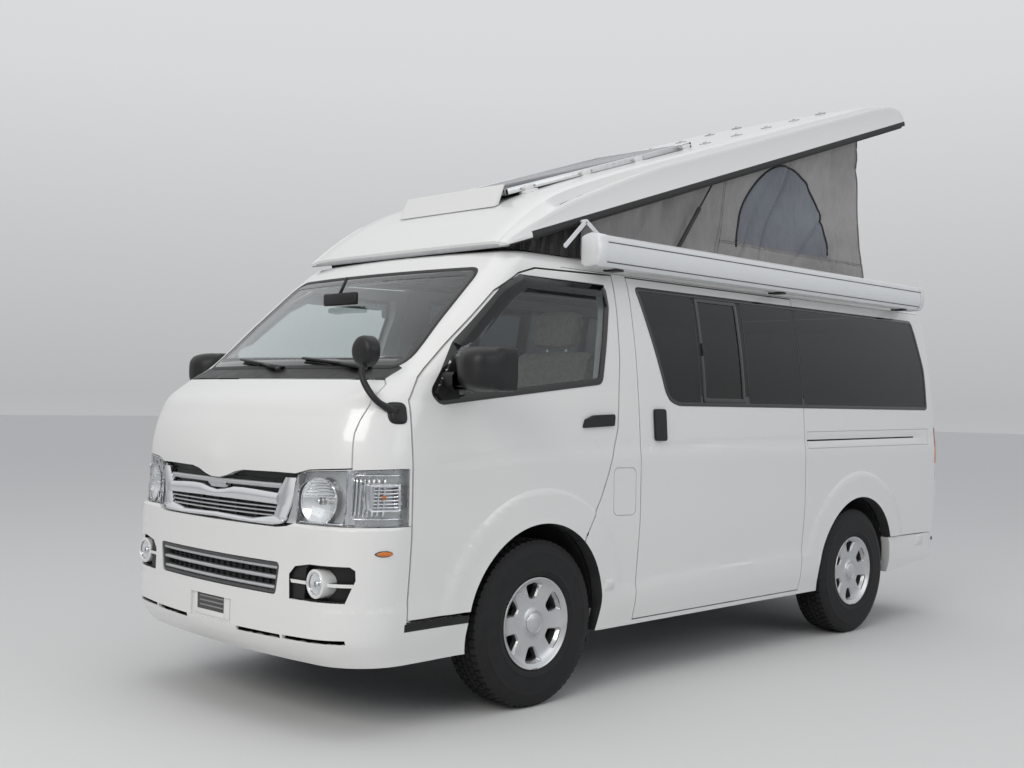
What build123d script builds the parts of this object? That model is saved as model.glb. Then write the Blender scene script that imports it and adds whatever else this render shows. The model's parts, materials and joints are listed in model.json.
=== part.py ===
"""Camper van with a raised pop-top roof, in millimetres.

The front faces -Y, the left side is +X and the ground is z = 0.
The body is one stack of plan outlines lofted in straight spans; its panels, doors and
glass are regions of that shell, so that they all follow the same skin.
"""
from functools import lru_cache
from math import atan2, cos, hypot, radians, sin, sqrt
import os

from build123d import *

# Driving dimensions
LENGTH = 4695.0
WHEELBASE = 2570.0
FRONT_AXLE_Y = -1317.5
REAR_AXLE_Y = FRONT_AXLE_Y + WHEELBASE
TRACK_X = 735.0
AXLE_Z = 346.0
TYRE_RADIUS = 346.0
TYRE_WIDTH = 195.0
RIM_RADIUS = 190.5
WALL = 50.0
GAP = 6.0
GLASS = 6.0
BODY_REACH = 1000.0

# Body shell
# z, half width, nose y, nose bow radius, nose corner radius, rear y, rear corner radius
BODY_SECTIONS = [
    (265, 794, -2285, 4200, 230, 2300, 80),
    (300, 801, -2315, 4200, 240, 2302, 85),
    (370, 816, -2346, 4200, 240, 2304, 90),
    (500, 826, -2347.5, 4200, 240, 2306, 90),
    (700, 842, -2347.5, 4200, 245, 2308, 90),
    (778, 845, -2343, 4200, 250, 2309, 90),
    (792, 845, -2338, 3300, 260, 2309, 90),
    (1000, 845, -2336, 2800, 260, 2310, 90),
    (1100, 837, -2324, 2800, 260, 2308, 90),
    (1180, 831, -2300, 2800, 260, 2306, 90),
    (1260, 825, -2252, 2900, 260, 2302, 88),
    (1330, 818, -2145, 3000, 220, 2298, 86),
    (1380, 814, -2062, 2500, 150, 2295, 84),
    (1600, 784, -1800, 2900, 125, 2282, 80),
    (1830, 732, -1527, 3500, 110, 2262, 80),
    (1862, 716, -1490, 3500, 105, 2250, 80),
    (1888, 692, -1455, 3500, 100, 2232, 80),
    (1901, 668, -1415, 3500, 95, 2200, 80),
    (1908, 640, -1365, 3500, 90, 2150, 80),
]
REAR_BOW = 9000.0
ROOF_TOP = 1908.0
ROOF_INSIDE = 1868.0
SKIRT_BOTTOM = 265.0
SIDE_SKIRT_BOTTOM = 285.0

# Side outlines, as (y, z)
DOOR_FRONT_Y = -2020.0
DOOR_OUTLINE = [
    (DOOR_FRONT_Y, 428), (DOOR_FRONT_Y, 1258), (-1955, 1348), (-1803, 1484), (-1527, 1715),
    (-1376, 1802), (-1270, 1832), (-768, 1843), (-772, 1650), (-785, 1450), (-804, 1300),
    (-821, 1150), (-863, 1030), (-897, 940), (-938, 850), (-1004, 740), (-1060, 640),
    (-1300, 640), (-1640, 428),
]
DOOR_WINDOW = [
    (-1905, 1290), (-1868, 1256), (-929, 1356), (-842, 1690), (-846, 1776), (-1370, 1778),
    (-1480, 1722), (-1762, 1484),
]
SLIDING_FRONT_Y, SLIDING_REAR_Y = -675.0, 714.0
SLIDING_TOP_Z = 1842.0
SIDE_WINDOW = [
    (-622, 1796), (-468, 1318), (-440, 1278), (-380, 1258), (2118, 1258), (2118, 1500),
    (2046, 1796),
]
SIDE_WINDOW_POSTS_Y = [(-200, -184), (174, 210), (706, 722)]
FRONT_ARCH = (-1305.0, 360.0)
REAR_ARCH = (1290.0, 360.0)
ARCH_RADIUS = 400.0

# Front outlines, as (x, z); a half outline is its left side, mirrored to close it
WINDSCREEN = [(-690, 1390), (690, 1390), (632, 1812), (-632, 1812)]
BUMPER_TOP_Z = 788.0
REAR_BUMPER_TOP = 504.0
GRILLE_HALF_OUTLINE = [(410, 768), (470, 776), (500, 788), (500, 976)]
LAMP_OUTLINE = [(500, 788), (900, 788), (900, 1008), (845, 1004), (754, 998), (557, 986), (500, 975)]
LAMP_REAR_Y = -2030.0
BONNET_HALF_OUTLINE = [
    (30, 932), (82, 943), (134, 960), (190, 969), (380, 971), (488, 970), (557, 988), (739, 1000),
    (727, 1134), (738, 1238), (727, 1318), (700, 1338),
]
INTAKE_HALF_OUTLINE = [(420, 514), (442, 638)]
INTAKE_SLAT_Z = (616.0, 577.0, 538.0)
FOG_RECESS = [(499, 508), (744, 511), (774, 597), (774, 633), (760, 646), (605, 646), (527, 632), (496, 600)]
FOG_POCKET = [(566, 514), (740, 516), (768, 598), (768, 630), (756, 640), (590, 640), (574, 626)]
FOG_X, FOG_Z = 632.0, 576.0
FOG_RADIUS = 54.0
LIP_SLOTS = [
    [(184, 350), (453, 354), (453, 368), (184, 366)],
    [(465, 355), (741, 361), (741, 376), (465, 369)],
]
TAILGATE = [
    (-700, 510), (700, 510), (700, 1180), (722, 1190), (690, 1852), (-690, 1852), (-722, 1190),
    (-700, 1180),
]
REAR_WINDOW = [(-640, 1230), (640, 1230), (600, 1780), (-600, 1780)]
TAIL_LAMP_Z = (830.0, 1150.0)

# Side details, as (y, z)
FLARE = 8.0
FLARE_RADIUS = 545.0
SILL_TOP_Z = 468.0
DOOR_HANDLE = [(-1064, 1153), (-1046, 1190), (-993, 1208), (-858, 1213), (-854, 1200), (-858, 1162)]
SLIDING_HANDLE = [(-571, 1093), (-490, 1093), (-490, 1239), (-571, 1239)]
FUEL_LID = [(-861, 766), (-705, 762), (-705, 976), (-861, 980)]
RAIL_COVER = [(734, 1038), (2112, 1046), (2112, 1142), (734, 1130)]
RAIL_SLOT = [(734, 1078), (1930, 1088), (1930, 1096), (734, 1086)]
MIRROR_PLAN = [(868, -1860), (1000, -1885), (1062, -1840), (1062, -1700), (868, -1690)]
MIRROR_Z = (1296.0, 1470.0)

# Pop-top lid, built closed and then turned up about its front hinge
LID_HINGE_Y, LID_HINGE_Z = -1400.0, 1914.0
LID_ANGLE = 17.7
LID_BOTTOM_Z = 1915.0
LID_WALL = 28.0
# distance from the front edge, half width, side wall height, shoulder half width, crown height
LID_SECTIONS = [
    (0, 692, 12, 640, 22),
    (95, 703, 44, 640, 64),
    (216, 705, 68, 632, 104),
    (355, 705, 94, 626, 140),
    (495, 705, 110, 622, 158),
    (789, 705, 134, 620, 168),
    (1101, 705, 150, 620, 170),
    (3309, 705, 147, 620, 168),
    (3524, 703, 131, 612, 150),
    (3600, 698, 64, 600, 78),
]
LID_RIB_X = (120.0, 500.0)
SOLAR_HALF, SOLAR_START, SOLAR_LENGTH = 340.0, 410.0, 1470.0
ROOF_HATCH = (-1000.0, 1500.0, 560.0)
STRUT_X = 650.0
STRUT_FOOT = (-250.0, 1932.0)
STRUT_HEAD = (130.0, 2420.0)


def plan_wire(z, half, nose, bow, corner, rear, rear_corner, inset=0.0):
    """Returns the closed plan outline at one height, pulled in by inset on every side."""
    half -= inset
    nose += inset
    bow -= inset
    rear -= inset
    corner = max(corner - inset, 20)
    rear_corner = max(rear_corner - inset, 20)
    nose_centre = nose + bow
    rear_centre = rear - REAR_BOW
    front_y = nose_centre - sqrt((bow - corner) ** 2 - (half - corner) ** 2)
    back_y = rear_centre + sqrt((REAR_BOW - rear_corner) ** 2 - (half - rear_corner) ** 2)

    def arc_points(side, corner_y, radius, centre, sign):
        cx = half - radius
        run = atan2(cx, sign * (corner_y - centre))
        middle = (run + radians(90)) / 2
        touch = (side * (cx + radius * sin(run)), corner_y + sign * radius * cos(run), z)
        bend = (side * (cx + radius * sin(middle)), corner_y + sign * radius * cos(middle), z)
        flank = (side * half, corner_y, z)
        return touch, bend, flank

    nl = arc_points(1, front_y, corner, nose_centre, -1)
    nr = arc_points(-1, front_y, corner, nose_centre, -1)
    rl = arc_points(1, back_y, rear_corner, rear_centre, 1)
    rr = arc_points(-1, back_y, rear_corner, rear_centre, 1)
    return Wire([
        Edge.make_three_point_arc(nr[0], (0, nose, z), nl[0]),
        Edge.make_three_point_arc(*nl),
        Edge.make_line(nl[2], rl[2]),
        Edge.make_three_point_arc(*reversed(rl)),
        Edge.make_three_point_arc(rl[0], (0, rear, z), rr[0]),
        Edge.make_three_point_arc(*rr),
        Edge.make_line(rr[2], nr[2]),
        Edge.make_three_point_arc(*reversed(nr)),
    ])


def section_at(z):
    """Returns the body section between the two table rows that enclose z."""
    for low, high in zip(BODY_SECTIONS, BODY_SECTIONS[1:]):
        if low[0] <= z <= high[0]:
            share = (z - low[0]) / (high[0] - low[0])
            return tuple(a + share * (b - a) for a, b in zip(low, high))
    raise ValueError(f"no body section at z = {z}")


@lru_cache(maxsize=None)
def body_loft(inset=0.0, top=None, bottom=None):
    """Returns the body's solid form, pulled in by inset, from bottom up to top."""
    rows = list(BODY_SECTIONS)
    if top is not None:
        rows = [row for row in rows if row[0] < top - 1] + [section_at(top)]
    if bottom is not None:
        rows = [(bottom,) + rows[0][1:]] + rows[1:]
    return Solid.make_loft([plan_wire(*row, inset=inset) for row in rows], True)


def prism(points, axis, low, high, radius=0.0):
    """Returns an outline pushed from low to high along axis X, Y or Z."""
    place = {
        "X": lambda p: (low, p[0], p[1]),
        "Y": lambda p: (p[0], low, p[1]),
        "Z": lambda p: (p[0], p[1], low),
    }[axis]
    corners = [place(p) for p in points]
    if radius:
        outline = Wire(FilletPolyline(*corners, radius=radius, close=True).edges())
    else:
        outline = Wire.make_polygon(corners, close=True)
    along = {"X": (1, 0, 0), "Y": (0, 1, 0), "Z": (0, 0, 1)}[axis]
    return extrude(Face(outline), amount=high - low, dir=along)


def block(x0, x1, y0, y1, z0, z1):
    """Returns a box between two corners."""
    return Pos((x0 + x1) / 2, (y0 + y1) / 2, (z0 + z1) / 2) * Box(abs(x1 - x0), abs(y1 - y0), abs(z1 - z0))


def rod(start, end, radius):
    """Returns a round bar between two points."""
    line = Vector(*end) - Vector(*start)
    return Solid.make_cylinder(radius, line.length, Plane(Vector(*start), z_dir=line))


def rod_x(x0, x1, y, z, radius):
    """Returns a round bar along X."""
    return rod((x0, y, z), (x1, y, z), radius)


def shrink(points, amount):
    """Returns an outline moved inwards by amount along its mitred corners."""
    count = len(points)
    area = sum(a[0] * b[1] - b[0] * a[1] for a, b in zip(points, points[1:] + points[:1]))
    turn = 1 if area > 0 else -1
    moved = []
    for i in range(count):
        before, here, after = points[i - 1], points[i], points[(i + 1) % count]
        n1 = unit_normal(before, here, turn)
        n2 = unit_normal(here, after, turn)
        scale = amount / (1 + n1[0] * n2[0] + n1[1] * n2[1])
        moved.append((here[0] + scale * (n1[0] + n2[0]), here[1] + scale * (n1[1] + n2[1])))
    return moved


def unit_normal(a, b, turn):
    """Returns the inward normal of one side of an outline."""
    run = (b[0] - a[0], b[1] - a[1])
    size = hypot(*run)
    return (-run[1] / size * turn, run[0] / size * turn)


def mirrored(shape):
    """Returns the shape on the other side of the van."""
    return mirror(shape, about=Plane.YZ)


def both(shape):
    """Returns a shape and its mirror image as one compound of separate solids."""
    return Compound(children=solids_of(shape) + solids_of(mirrored(shape)))


def solids_of(shape):
    """Returns the solids of a shape as a plain list."""
    return list(shape.solids())


def revolve_profile(points, x, y, z, radius=0.0):
    """Turns an outline of (along X, from the axle) about an axle along X at (x, y, z)."""
    corners = [(x + along, y, z + out) for along, out in points]
    if radius:
        outline = Wire(FilletPolyline(*corners, radius=radius, close=True).edges())
    else:
        outline = Wire.make_polygon(corners, close=True)
    return revolve(Face(outline), Axis((x, y, z), (1, 0, 0)))


# Shell and its regions
SIDE_REACH = 560.0
NOSE_REACH = -2500.0
NOSE_LAYER_TOP = 1050.0


@lru_cache(maxsize=None)
def layer(out, deep):
    """Returns the skin layer from out proud of the body to deep inside it."""
    return body_loft(-out) - body_loft(deep, bottom=100.0)


@lru_cache(maxsize=None)
def nose_layer(out, deep):
    """Returns the same layer over the nose alone, below the bonnet."""
    form = body_loft(-out, top=NOSE_LAYER_TOP) - body_loft(deep, top=NOSE_LAYER_TOP, bottom=100.0)
    return form & block(-BODY_REACH, BODY_REACH, NOSE_REACH, -1900, 200, NOSE_LAYER_TOP)


def side_region(points, side=1, radius=0.0):
    """Returns the prism of a side outline, reaching from inside the wall outwards."""
    reach = prism(points, "X", SIDE_REACH, BODY_REACH, radius)
    return reach if side > 0 else mirrored(reach)


def front_region(points, radius=0.0):
    """Returns the prism of a front outline through the nose."""
    return prism(points, "Y", NOSE_REACH, -1850, radius)


def whole_outline(half_points):
    """Returns a closed front outline from its left half."""
    return half_points + [(-x, z) for x, z in reversed(half_points) if x]


def side_groove(points, width, radius):
    """Returns the prism of a groove that runs round inside a side outline."""
    return side_region(points, 1, radius) - side_region(shrink(points, width), 1, radius - width)


def arch(centre, radius, side=1, inside=SIDE_REACH):
    """Returns the round cutter of one wheel arch."""
    cutter = rod_x(inside, BODY_REACH, centre[0], centre[1], radius)
    return cutter if side > 0 else mirrored(cutter)


plain_outer = body_loft()
inner = body_loft(WALL, top=ROOF_INSIDE, bottom=100.0)
glass_inner = body_loft(GLASS + 4, top=1888.0, bottom=100.0)
flare_skin = body_loft(-FLARE)


def flared_body():
    """Returns the outer form with its wheel-arch flares and its proud sills."""
    zone = block(600, BODY_REACH, -800, 790, SIDE_SKIRT_BOTTOM, SILL_TOP_Z)
    above_axle = block(SIDE_REACH, BODY_REACH, -1900, 1840, AXLE_Z, 1000)
    for centre in (FRONT_ARCH, REAR_ARCH):
        zone = zone + (arch(centre, FLARE_RADIUS) & above_axle)
    zone = zone + mirrored(zone)
    return plain_outer + (flare_skin & zone)


outer = flared_body()
shell = outer - inner
for arch_centre in (FRONT_ARCH, REAR_ARCH):
    for arch_side in (1, -1):
        shell = shell - arch(arch_centre, ARCH_RADIUS, arch_side)

door_hole = side_region(DOOR_OUTLINE)
door_body = side_region(shrink(DOOR_OUTLINE, 8.0))
door_window = side_region(DOOR_WINDOW, radius=18)
side_window = side_region(SIDE_WINDOW, radius=30)
windscreen_hole = prism(WINDSCREEN, "Y", NOSE_REACH, -1250, 55)
BONNET_OUTLINE = whole_outline(BONNET_HALF_OUTLINE)
bonnet_hole = front_region(BONNET_OUTLINE)
bonnet_body = front_region(shrink(BONNET_OUTLINE, 5.0))
grille_hole = front_region(whole_outline(GRILLE_HALF_OUTLINE))
lamp_hole = prism(LAMP_OUTLINE, "Y", NOSE_REACH, LAMP_REAR_Y)
tailgate_hole = prism(TAILGATE, "Y", 2100, 2500)
tailgate_body = prism(shrink(TAILGATE, 7.0), "Y", 2100, 2500)
rear_window = prism(REAR_WINDOW, "Y", 2100, 2500, 45)
tail_lamp_space = block(700, 900, 2190, 2500, *TAIL_LAMP_Z)

nodes = {}


# Doors
MIRROR_BASE = [(-1900, 1290), (-1868, 1260), (-1782, 1268), (-1798, 1436)]
MIRROR_ARM = [(-1862, 1302), (-1772, 1302), (-1772, 1370), (-1862, 1370)]


def mirror_head():
    """Returns the door mirror's rounded housing."""
    head = prism(MIRROR_PLAN, "Z", *MIRROR_Z, 42)
    return fillet(head.edges().filter_by(Plane.XY), 30)


def door_furniture():
    """Returns the door's outside handle, and its mirror on a short arm."""
    handle = prism(DOOR_HANDLE, "X", 806, 843, 6)
    base = side_region(MIRROR_BASE) & layer(16, 30)
    arm = prism(MIRROR_ARM, "X", 800, 900, 20)
    return handle + base + arm + mirror_head()


furniture_left = door_furniture()
door_glass_left = (plain_outer & door_window) - glass_inner - furniture_left
nodes["door_glass_left"] = door_glass_left.solids().sort_by(SortBy.VOLUME)[-1]
nodes["door_glass_right"] = mirrored(nodes["door_glass_left"])
nodes["door_left"] = (shell & door_body) - door_window + furniture_left
nodes["door_right"] = mirrored(nodes["door_left"])

# Tailgate and bonnet
REAR_PLATE_Z = (640.0, 810.0)
REAR_PLATE_FACE_Y = 2296.0
HANDLE_BAR = [(-262, 876), (262, 876), (246, 930), (-246, 930)]


def tailgate():
    """Returns the tailgate with its plate recess and its handle bar."""
    panel = (shell & tailgate_body) - rear_window
    panel = panel - block(-170, 170, REAR_PLATE_FACE_Y, 2500, *REAR_PLATE_Z)
    return panel + (prism(HANDLE_BAR, "Y", 2200, 2500, 14) & layer(16, 30))


nodes["tailgate"] = tailgate()
nodes["tailgate_glass"] = (plain_outer & rear_window) - glass_inner
nodes["bonnet"] = (plain_outer - body_loft(26.0, top=1500.0)) & bonnet_body

# Fixed panels
rest = shell - door_hole - mirrored(door_hole) - tailgate_hole - bonnet_hole - windscreen_hole
rest = rest - grille_hole - lamp_hole - mirrored(lamp_hole)
rest = rest - tail_lamp_space - mirrored(tail_lamp_space)

ROOF_CUT_Z = 1848.0
PILLAR_REGION = [(-2014, 1000), (-2014, 2000), (-1330, 2000), (-1330, 1800)]
BUMPER_REGION = [
    (NOSE_REACH, 200), (-1640, 200), (-1640, 416), (DOOR_FRONT_Y, 416),
    (DOOR_FRONT_Y, BUMPER_TOP_Z), (NOSE_REACH, BUMPER_TOP_Z),
]
roof_region = block(-900, 900, -1330, 2400, ROOF_CUT_Z, 2000)
roof_region = roof_region + block(-900, 900, -1330, -1102, 1800, ROOF_CUT_Z)
front_panel_region = block(-900, 900, NOSE_REACH, -2014, BUMPER_TOP_Z + 2, 2000)
front_panel_region = front_panel_region + prism(PILLAR_REGION, "X", -900, 900)
bumper_region = prism(BUMPER_REGION, "X", -900, 900)
rear_bumper_region = block(-900, 900, 1600, 2500, 200, REAR_BUMPER_TOP + 6)
side_low = block(-900, 900, -1100, 2400, 200, ROOF_CUT_Z - 2) - rear_bumper_region

PIN, PIN_PLAY = 4.0, 0.05
hatch = block(-ROOF_HATCH[2], ROOF_HATCH[2], ROOF_HATCH[0], ROOF_HATCH[1], 1800, 2000)
strut_ear = block(664, 671, STRUT_FOOT[0] - 14, STRUT_FOOT[0] + 14, 1885, 1944)
strut_ear = strut_ear + rod_x(638, 668, *STRUT_FOOT, PIN)
nodes["roof_panel"] = (rest & roof_region) - hatch + both(strut_ear)
nodes["front_panel"] = rest & front_panel_region

# Front bumper
PLATE_FACE_Y = -2338.0
FOG_FRONT_Y = -2298.0
FOG_LENS_RADIUS = 42.0
FOG_VANE = [(504, 569), (764, 569), (768, 582), (500, 582)]


def front_bumper():
    """Returns the front bumper with its plate seat, intake, fog lamp pockets and lip slots."""
    bar = (rest & bumper_region) - block(-150, 150, NOSE_REACH, PLATE_FACE_Y, 366, 464)
    bar = bar - front_region(whole_outline(INTAKE_HALF_OUTLINE), 18)
    slots = front_region(LIP_SLOTS[0]) + front_region(LIP_SLOTS[1])
    pod = rod((FOG_X, FOG_FRONT_Y, FOG_Z), (FOG_X, FOG_FRONT_Y + 60, FOG_Z), FOG_RADIUS)
    vane = front_region(FOG_VANE) - rod((FOG_X, -2600, FOG_Z), (FOG_X, -1800, FOG_Z), FOG_RADIUS - 4)
    pod = pod + (vane & nose_layer(-3, 46))
    pod = pod - rod((FOG_X, FOG_FRONT_Y - 30, FOG_Z), (FOG_X, FOG_FRONT_Y + 14, FOG_Z), FOG_LENS_RADIUS)
    for region, deep in ((slots, 30), (front_region(FOG_RECESS), 12), (front_region(FOG_POCKET), 42)):
        cut = region & nose_layer(2, deep)
        bar = bar - cut - mirrored(cut)
    return bar + pod + mirrored(pod)


nodes["front_bumper"] = front_bumper()

# Rear bumper
# z, half width, nose y, nose bow radius, nose corner radius, rear y, rear corner radius
REAR_BUMPER_SECTIONS = [
    (298, 800, -1000, 4200, 200, 2325, 150),
    (370, 816, -1000, 4200, 200, 2346, 160),
    (470, 824, -1000, 4200, 200, 2347.5, 160),
    (REAR_BUMPER_TOP, 822, -1000, 4200, 200, 2322, 150),
]
REAR_UNDERCUT = [(1500, 200), (2600, 200), (2600, 440), (2160, 343), (1740, 300), (1500, 300)]


def rear_bumper():
    """Returns the rear bumper, open to the front, with its lower edge rising to the rear."""
    lowest, *middle, highest = REAR_BUMPER_SECTIONS
    hollow_rows = [(200,) + lowest[1:]] + middle + [(600,) + highest[1:]]
    form = Solid.make_loft([plan_wire(*row) for row in REAR_BUMPER_SECTIONS], True)
    hollow = Solid.make_loft([plan_wire(*row, inset=WALL) for row in hollow_rows], True)
    bar = form - hollow - prism(REAR_UNDERCUT, "X", -900, 900) - block(-900, 900, -2500, 1560, 200, 600)
    for side in (1, -1):
        bar = bar - arch(REAR_ARCH, ARCH_RADIUS, side)
    return bar


nodes["rear_bumper"] = rear_bumper()

# Body sides and sliding door
SLIDING_OUTLINE = [
    (SLIDING_FRONT_Y, SIDE_SKIRT_BOTTOM), (SLIDING_REAR_Y, SIDE_SKIRT_BOTTOM),
    (SLIDING_REAR_Y, SLIDING_TOP_Z), (SLIDING_FRONT_Y, SLIDING_TOP_Z),
]
sides = (rest & side_low) - side_window - mirrored(side_window)
sliding_hole = side_region(SLIDING_OUTLINE)
left_half = block(0, 900, -2500, 2500, 0, 2000)
shallow = layer(2, 6)
sliding_door = sides & side_region(shrink(SLIDING_OUTLINE, GAP)) & left_half
nodes["sliding_door"] = sliding_door + (side_region(SLIDING_HANDLE, radius=14) & layer(14, 20))
body_side_left = (sides & left_half) - sliding_hole
body_side_left = body_side_left - (side_groove(FUEL_LID, 4, 30) & shallow)
body_side_left = body_side_left - (side_groove(RAIL_COVER, 4, 8) & shallow)
nodes["body_side_left"] = body_side_left - (side_region(RAIL_SLOT) & layer(2, 16))
nodes["body_side_right"] = sides - left_half

glass_strip = (plain_outer & side_window) - glass_inner
for y0, y1 in SIDE_WINDOW_POSTS_Y:
    glass_strip = glass_strip - block(500, 900, y0, y1, 1200, 1850)
nodes["side_windows"] = both(glass_strip)
nodes["windscreen"] = (plain_outer & windscreen_hole) - glass_inner

# Lamps
LAMP_CENTRE = (594.0, 876.0)
INDICATOR = [(-2192, 834), (-2058, 834), (-2058, 960), (-2192, 960)]


def headlamp():
    """Returns one headlamp with the grooves round its reflector and its indicator."""
    lens = nose_layer(0, 45) & prism(shrink(LAMP_OUTLINE, 3.0), "Y", NOSE_REACH, LAMP_REAR_Y - 4)
    x, z = LAMP_CENTRE
    ring = rod((x, NOSE_REACH, z), (x, -2100, z), 96) - rod((x, NOSE_REACH, z), (x, -2100, z), 88)
    split = block(717, 723, NOSE_REACH, -2100, 780, 1010)
    groove = (ring + split + side_groove(INDICATOR, 6, 14)) & nose_layer(2, 4)
    return lens - groove


fog_lens = rod((FOG_X, FOG_FRONT_Y + 2, FOG_Z), (FOG_X, FOG_FRONT_Y + 10, FOG_Z), FOG_LENS_RADIUS - 0.2)
nodes["headlamps"] = Compound(children=solids_of(both(headlamp())) + solids_of(both(fog_lens)))
lamp_low, lamp_high = TAIL_LAMP_Z
tail_lamp = plain_outer - body_loft(45, bottom=100.0)
nodes["tail_lamps"] = both(tail_lamp & block(703, 900, 2193, 2500, lamp_low + 3, lamp_high - 3))

# Grille, as half outlines of (x, z)
GRILLE_BAR = [
    (0, 886), (60, 892), (117, 903), (185, 904), (281, 901), (392, 895), (392, 854), (254, 855),
    (119, 857), (0, 856),
]
GRILLE_FOOT = [(0, 797), (257, 792), (380, 806), (440, 792), (430, 782), (374, 774), (202, 774), (0, 778)]
GRILLE_WING = [(371, 806), (440, 790), (465, 853), (478, 892), (488, 964), (434, 961), (389, 895), (392, 848)]
GRILLE_TOP_SLAT = [(0, 915), (412, 915), (420, 932), (0, 932)]
EMBLEM_BASE = [(0, 897), (56, 897), (62, 926), (0, 926)]
GRILLE_SLAT_Z = (840.0, 824.0, 808.0)


def bars(half_outlines):
    """Returns the prisms of a grille's bars, each given as a half outline."""
    first, *others = [front_region(whole_outline(points)) for points in half_outlines]
    for other in others:
        first = first + other
    return first


def upper_grille():
    """Returns the upper grille: a back plate, its bright frame, slats and centre post."""
    plate = front_region(shrink(whole_outline(GRILLE_HALF_OUTLINE), 4.0)) & nose_layer(-34, 46)
    wing = front_region(GRILLE_WING)
    bright = bars([GRILLE_BAR, GRILLE_FOOT]) + wing + mirrored(wing)
    slats = [[(0, z - 3), (405, z - 3), (405, z + 3), (0, z + 3)] for z in GRILLE_SLAT_Z]
    post = [(0, 790), (6, 790), (6, 860), (0, 860)]
    dark = bars([GRILLE_TOP_SLAT, EMBLEM_BASE, post] + slats) - bright
    return plate + (bright & nose_layer(4, 36)) + (dark & nose_layer(-8, 36))


def lower_grille():
    """Returns the lower grille in the bumper's intake: a frame round three slats."""
    outline = shrink(whole_outline(INTAKE_HALF_OUTLINE), 4.0)
    region = front_region(outline, 14)
    slats = bars([[(0, z - 8), (425, z - 8), (425, z + 8), (0, z + 8)] for z in INTAKE_SLAT_Z])
    grid = (region - front_region(shrink(outline, 14.0))) + (slats & region)
    return (region & nose_layer(-34, 46)) + (grid & nose_layer(-6, 36))


nodes["grille"] = Compound(children=solids_of(upper_grille()) + solids_of(lower_grille()))


# Wipers, dashboard, steering wheel, seats and the camper furniture
def nose_y(x, z):
    """Returns the y of the nose skin at a point inside its corners."""
    _, _, nose, bow, *_ = section_at(z)
    return nose + bow - sqrt(bow ** 2 - x ** 2)


def wiper(x):
    """Returns one wiper's blade, lying just off the windscreen."""
    start = (x, nose_y(x, 1388) - 26, 1388)
    end = (x - 430, nose_y(x - 430, 1424) - 20, 1424)
    return rod(start, end, 8)


nodes["wipers"] = Compound(children=[wiper(x) for x in (560, 60)])
DASH_OUTLINE = [(-2010, 960), (-1760, 960), (-1700, 1120), (-1760, 1200), (-1990, 1240)]
dash = prism(DASH_OUTLINE, "X", -730, 730, 25)
nodes["dashboard"] = dash

COLUMN_START, COLUMN_END = (-400, -1780, 1060), (-400, -1640, 1160)
STEERING_RADIUS = 185.0
wheel_plane = Plane(Vector(*COLUMN_END), z_dir=Vector(*COLUMN_END) - Vector(*COLUMN_START))
steering = wheel_plane * Torus(STEERING_RADIUS, 14) + rod(COLUMN_START, COLUMN_END, 22)
for turn in (90, 210, 330):
    spoke_end = (STEERING_RADIUS * cos(radians(turn)), STEERING_RADIUS * sin(radians(turn)), 0)
    steering = steering + rod(COLUMN_END, tuple(wheel_plane.from_local_coords(spoke_end)), 12)
nodes["steering_wheel"] = steering - dash

SEAT_CUSHION = [(-1430, 800), (-900, 800), (-900, 925), (-1180, 930), (-1400, 965), (-1436, 900)]
SEAT_BACK = [(-985, 900), (-860, 880), (-700, 1460), (-720, 1500), (-800, 1500)]
SEAT_HEAD = [(-812, 1520), (-722, 1512), (-694, 1680), (-776, 1696)]
SEAT_PEDESTAL = [(-1360, 601), (-960, 601), (-940, 800), (-1380, 800)]


def seat(x, pedestal_x):
    """Returns one front seat: pedestal, cushion, backrest, headrest and its two posts."""
    form = prism(SEAT_CUSHION, "X", x - 250, x + 250, 24)
    form = form + prism(SEAT_BACK, "X", x - 240, x + 240, 22)
    form = form + prism(SEAT_HEAD, "X", x - 130, x + 130, 25)
    form = form + prism(SEAT_PEDESTAL, "X", *pedestal_x)
    for post_x in (x - 60, x + 60):
        form = form + rod((post_x, -764, 1480), (post_x, -752, 1540), 7)
    return form


left_seat, right_seat = seat(390, (308, 415)), seat(-390, (-415, -308))
nodes["front_seats"] = Compound(children=solids_of(left_seat) + solids_of(right_seat))
bench = block(-560, 560, 900, 2140, 601, 1000) + block(-720, 620, 900, 2140, 795, 1000)
cabinet = block(-715, -330, -350, 780, 601, 1240)
nodes["furniture"] = Compound(children=[bench, cabinet])

# Floor, engine cover and wheel houses
HOUSE_RADIUS, HOUSE_SKIN = 410.0, 18.0
HOUSE_Z = 360.0
ENGINE_COVER = (300.0, -1640.0, -860.0, 800.0)
# centre y, inside x, outside x, flap's front y
HOUSES = [
    (FRONT_AXLE_Y - 2, 445.0, 762.0, -908.0),
    (REAR_ARCH[0] - 20, 590.0, 772.0, 1681.0),
]
FLAP_BOTTOM_Z = 205.0


def wheel_house(centre_y, inside, outside, flap_y):
    """Returns the left wheel house of one axle with the mud flap at its rear."""
    skin = rod_x(inside - HOUSE_SKIN, outside, centre_y, HOUSE_Z, HOUSE_RADIUS + HOUSE_SKIN)
    skin = skin & block(-900, 900, -2500, 2500, HOUSE_Z, 900)
    skin = skin - rod_x(inside, outside + 200, centre_y, HOUSE_Z, HOUSE_RADIUS)
    return (skin & inner) + block(602, 742, flap_y, flap_y + 14, FLAP_BOTTOM_Z, HOUSE_Z + 20)


front_house, rear_house = [wheel_house(*row) for row in HOUSES]
front_house = front_house - block(415, 455, FRONT_AXLE_Y - 110, FRONT_AXLE_Y + 110, 355, 480)
rear_house = rear_house - block(565, 600, REAR_AXLE_Y - 60, REAR_AXLE_Y + 60, 355, 410)
houses = solids_of(both(front_house)) + solids_of(both(rear_house))
nodes["wheel_houses"] = Compound(children=houses)

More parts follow.
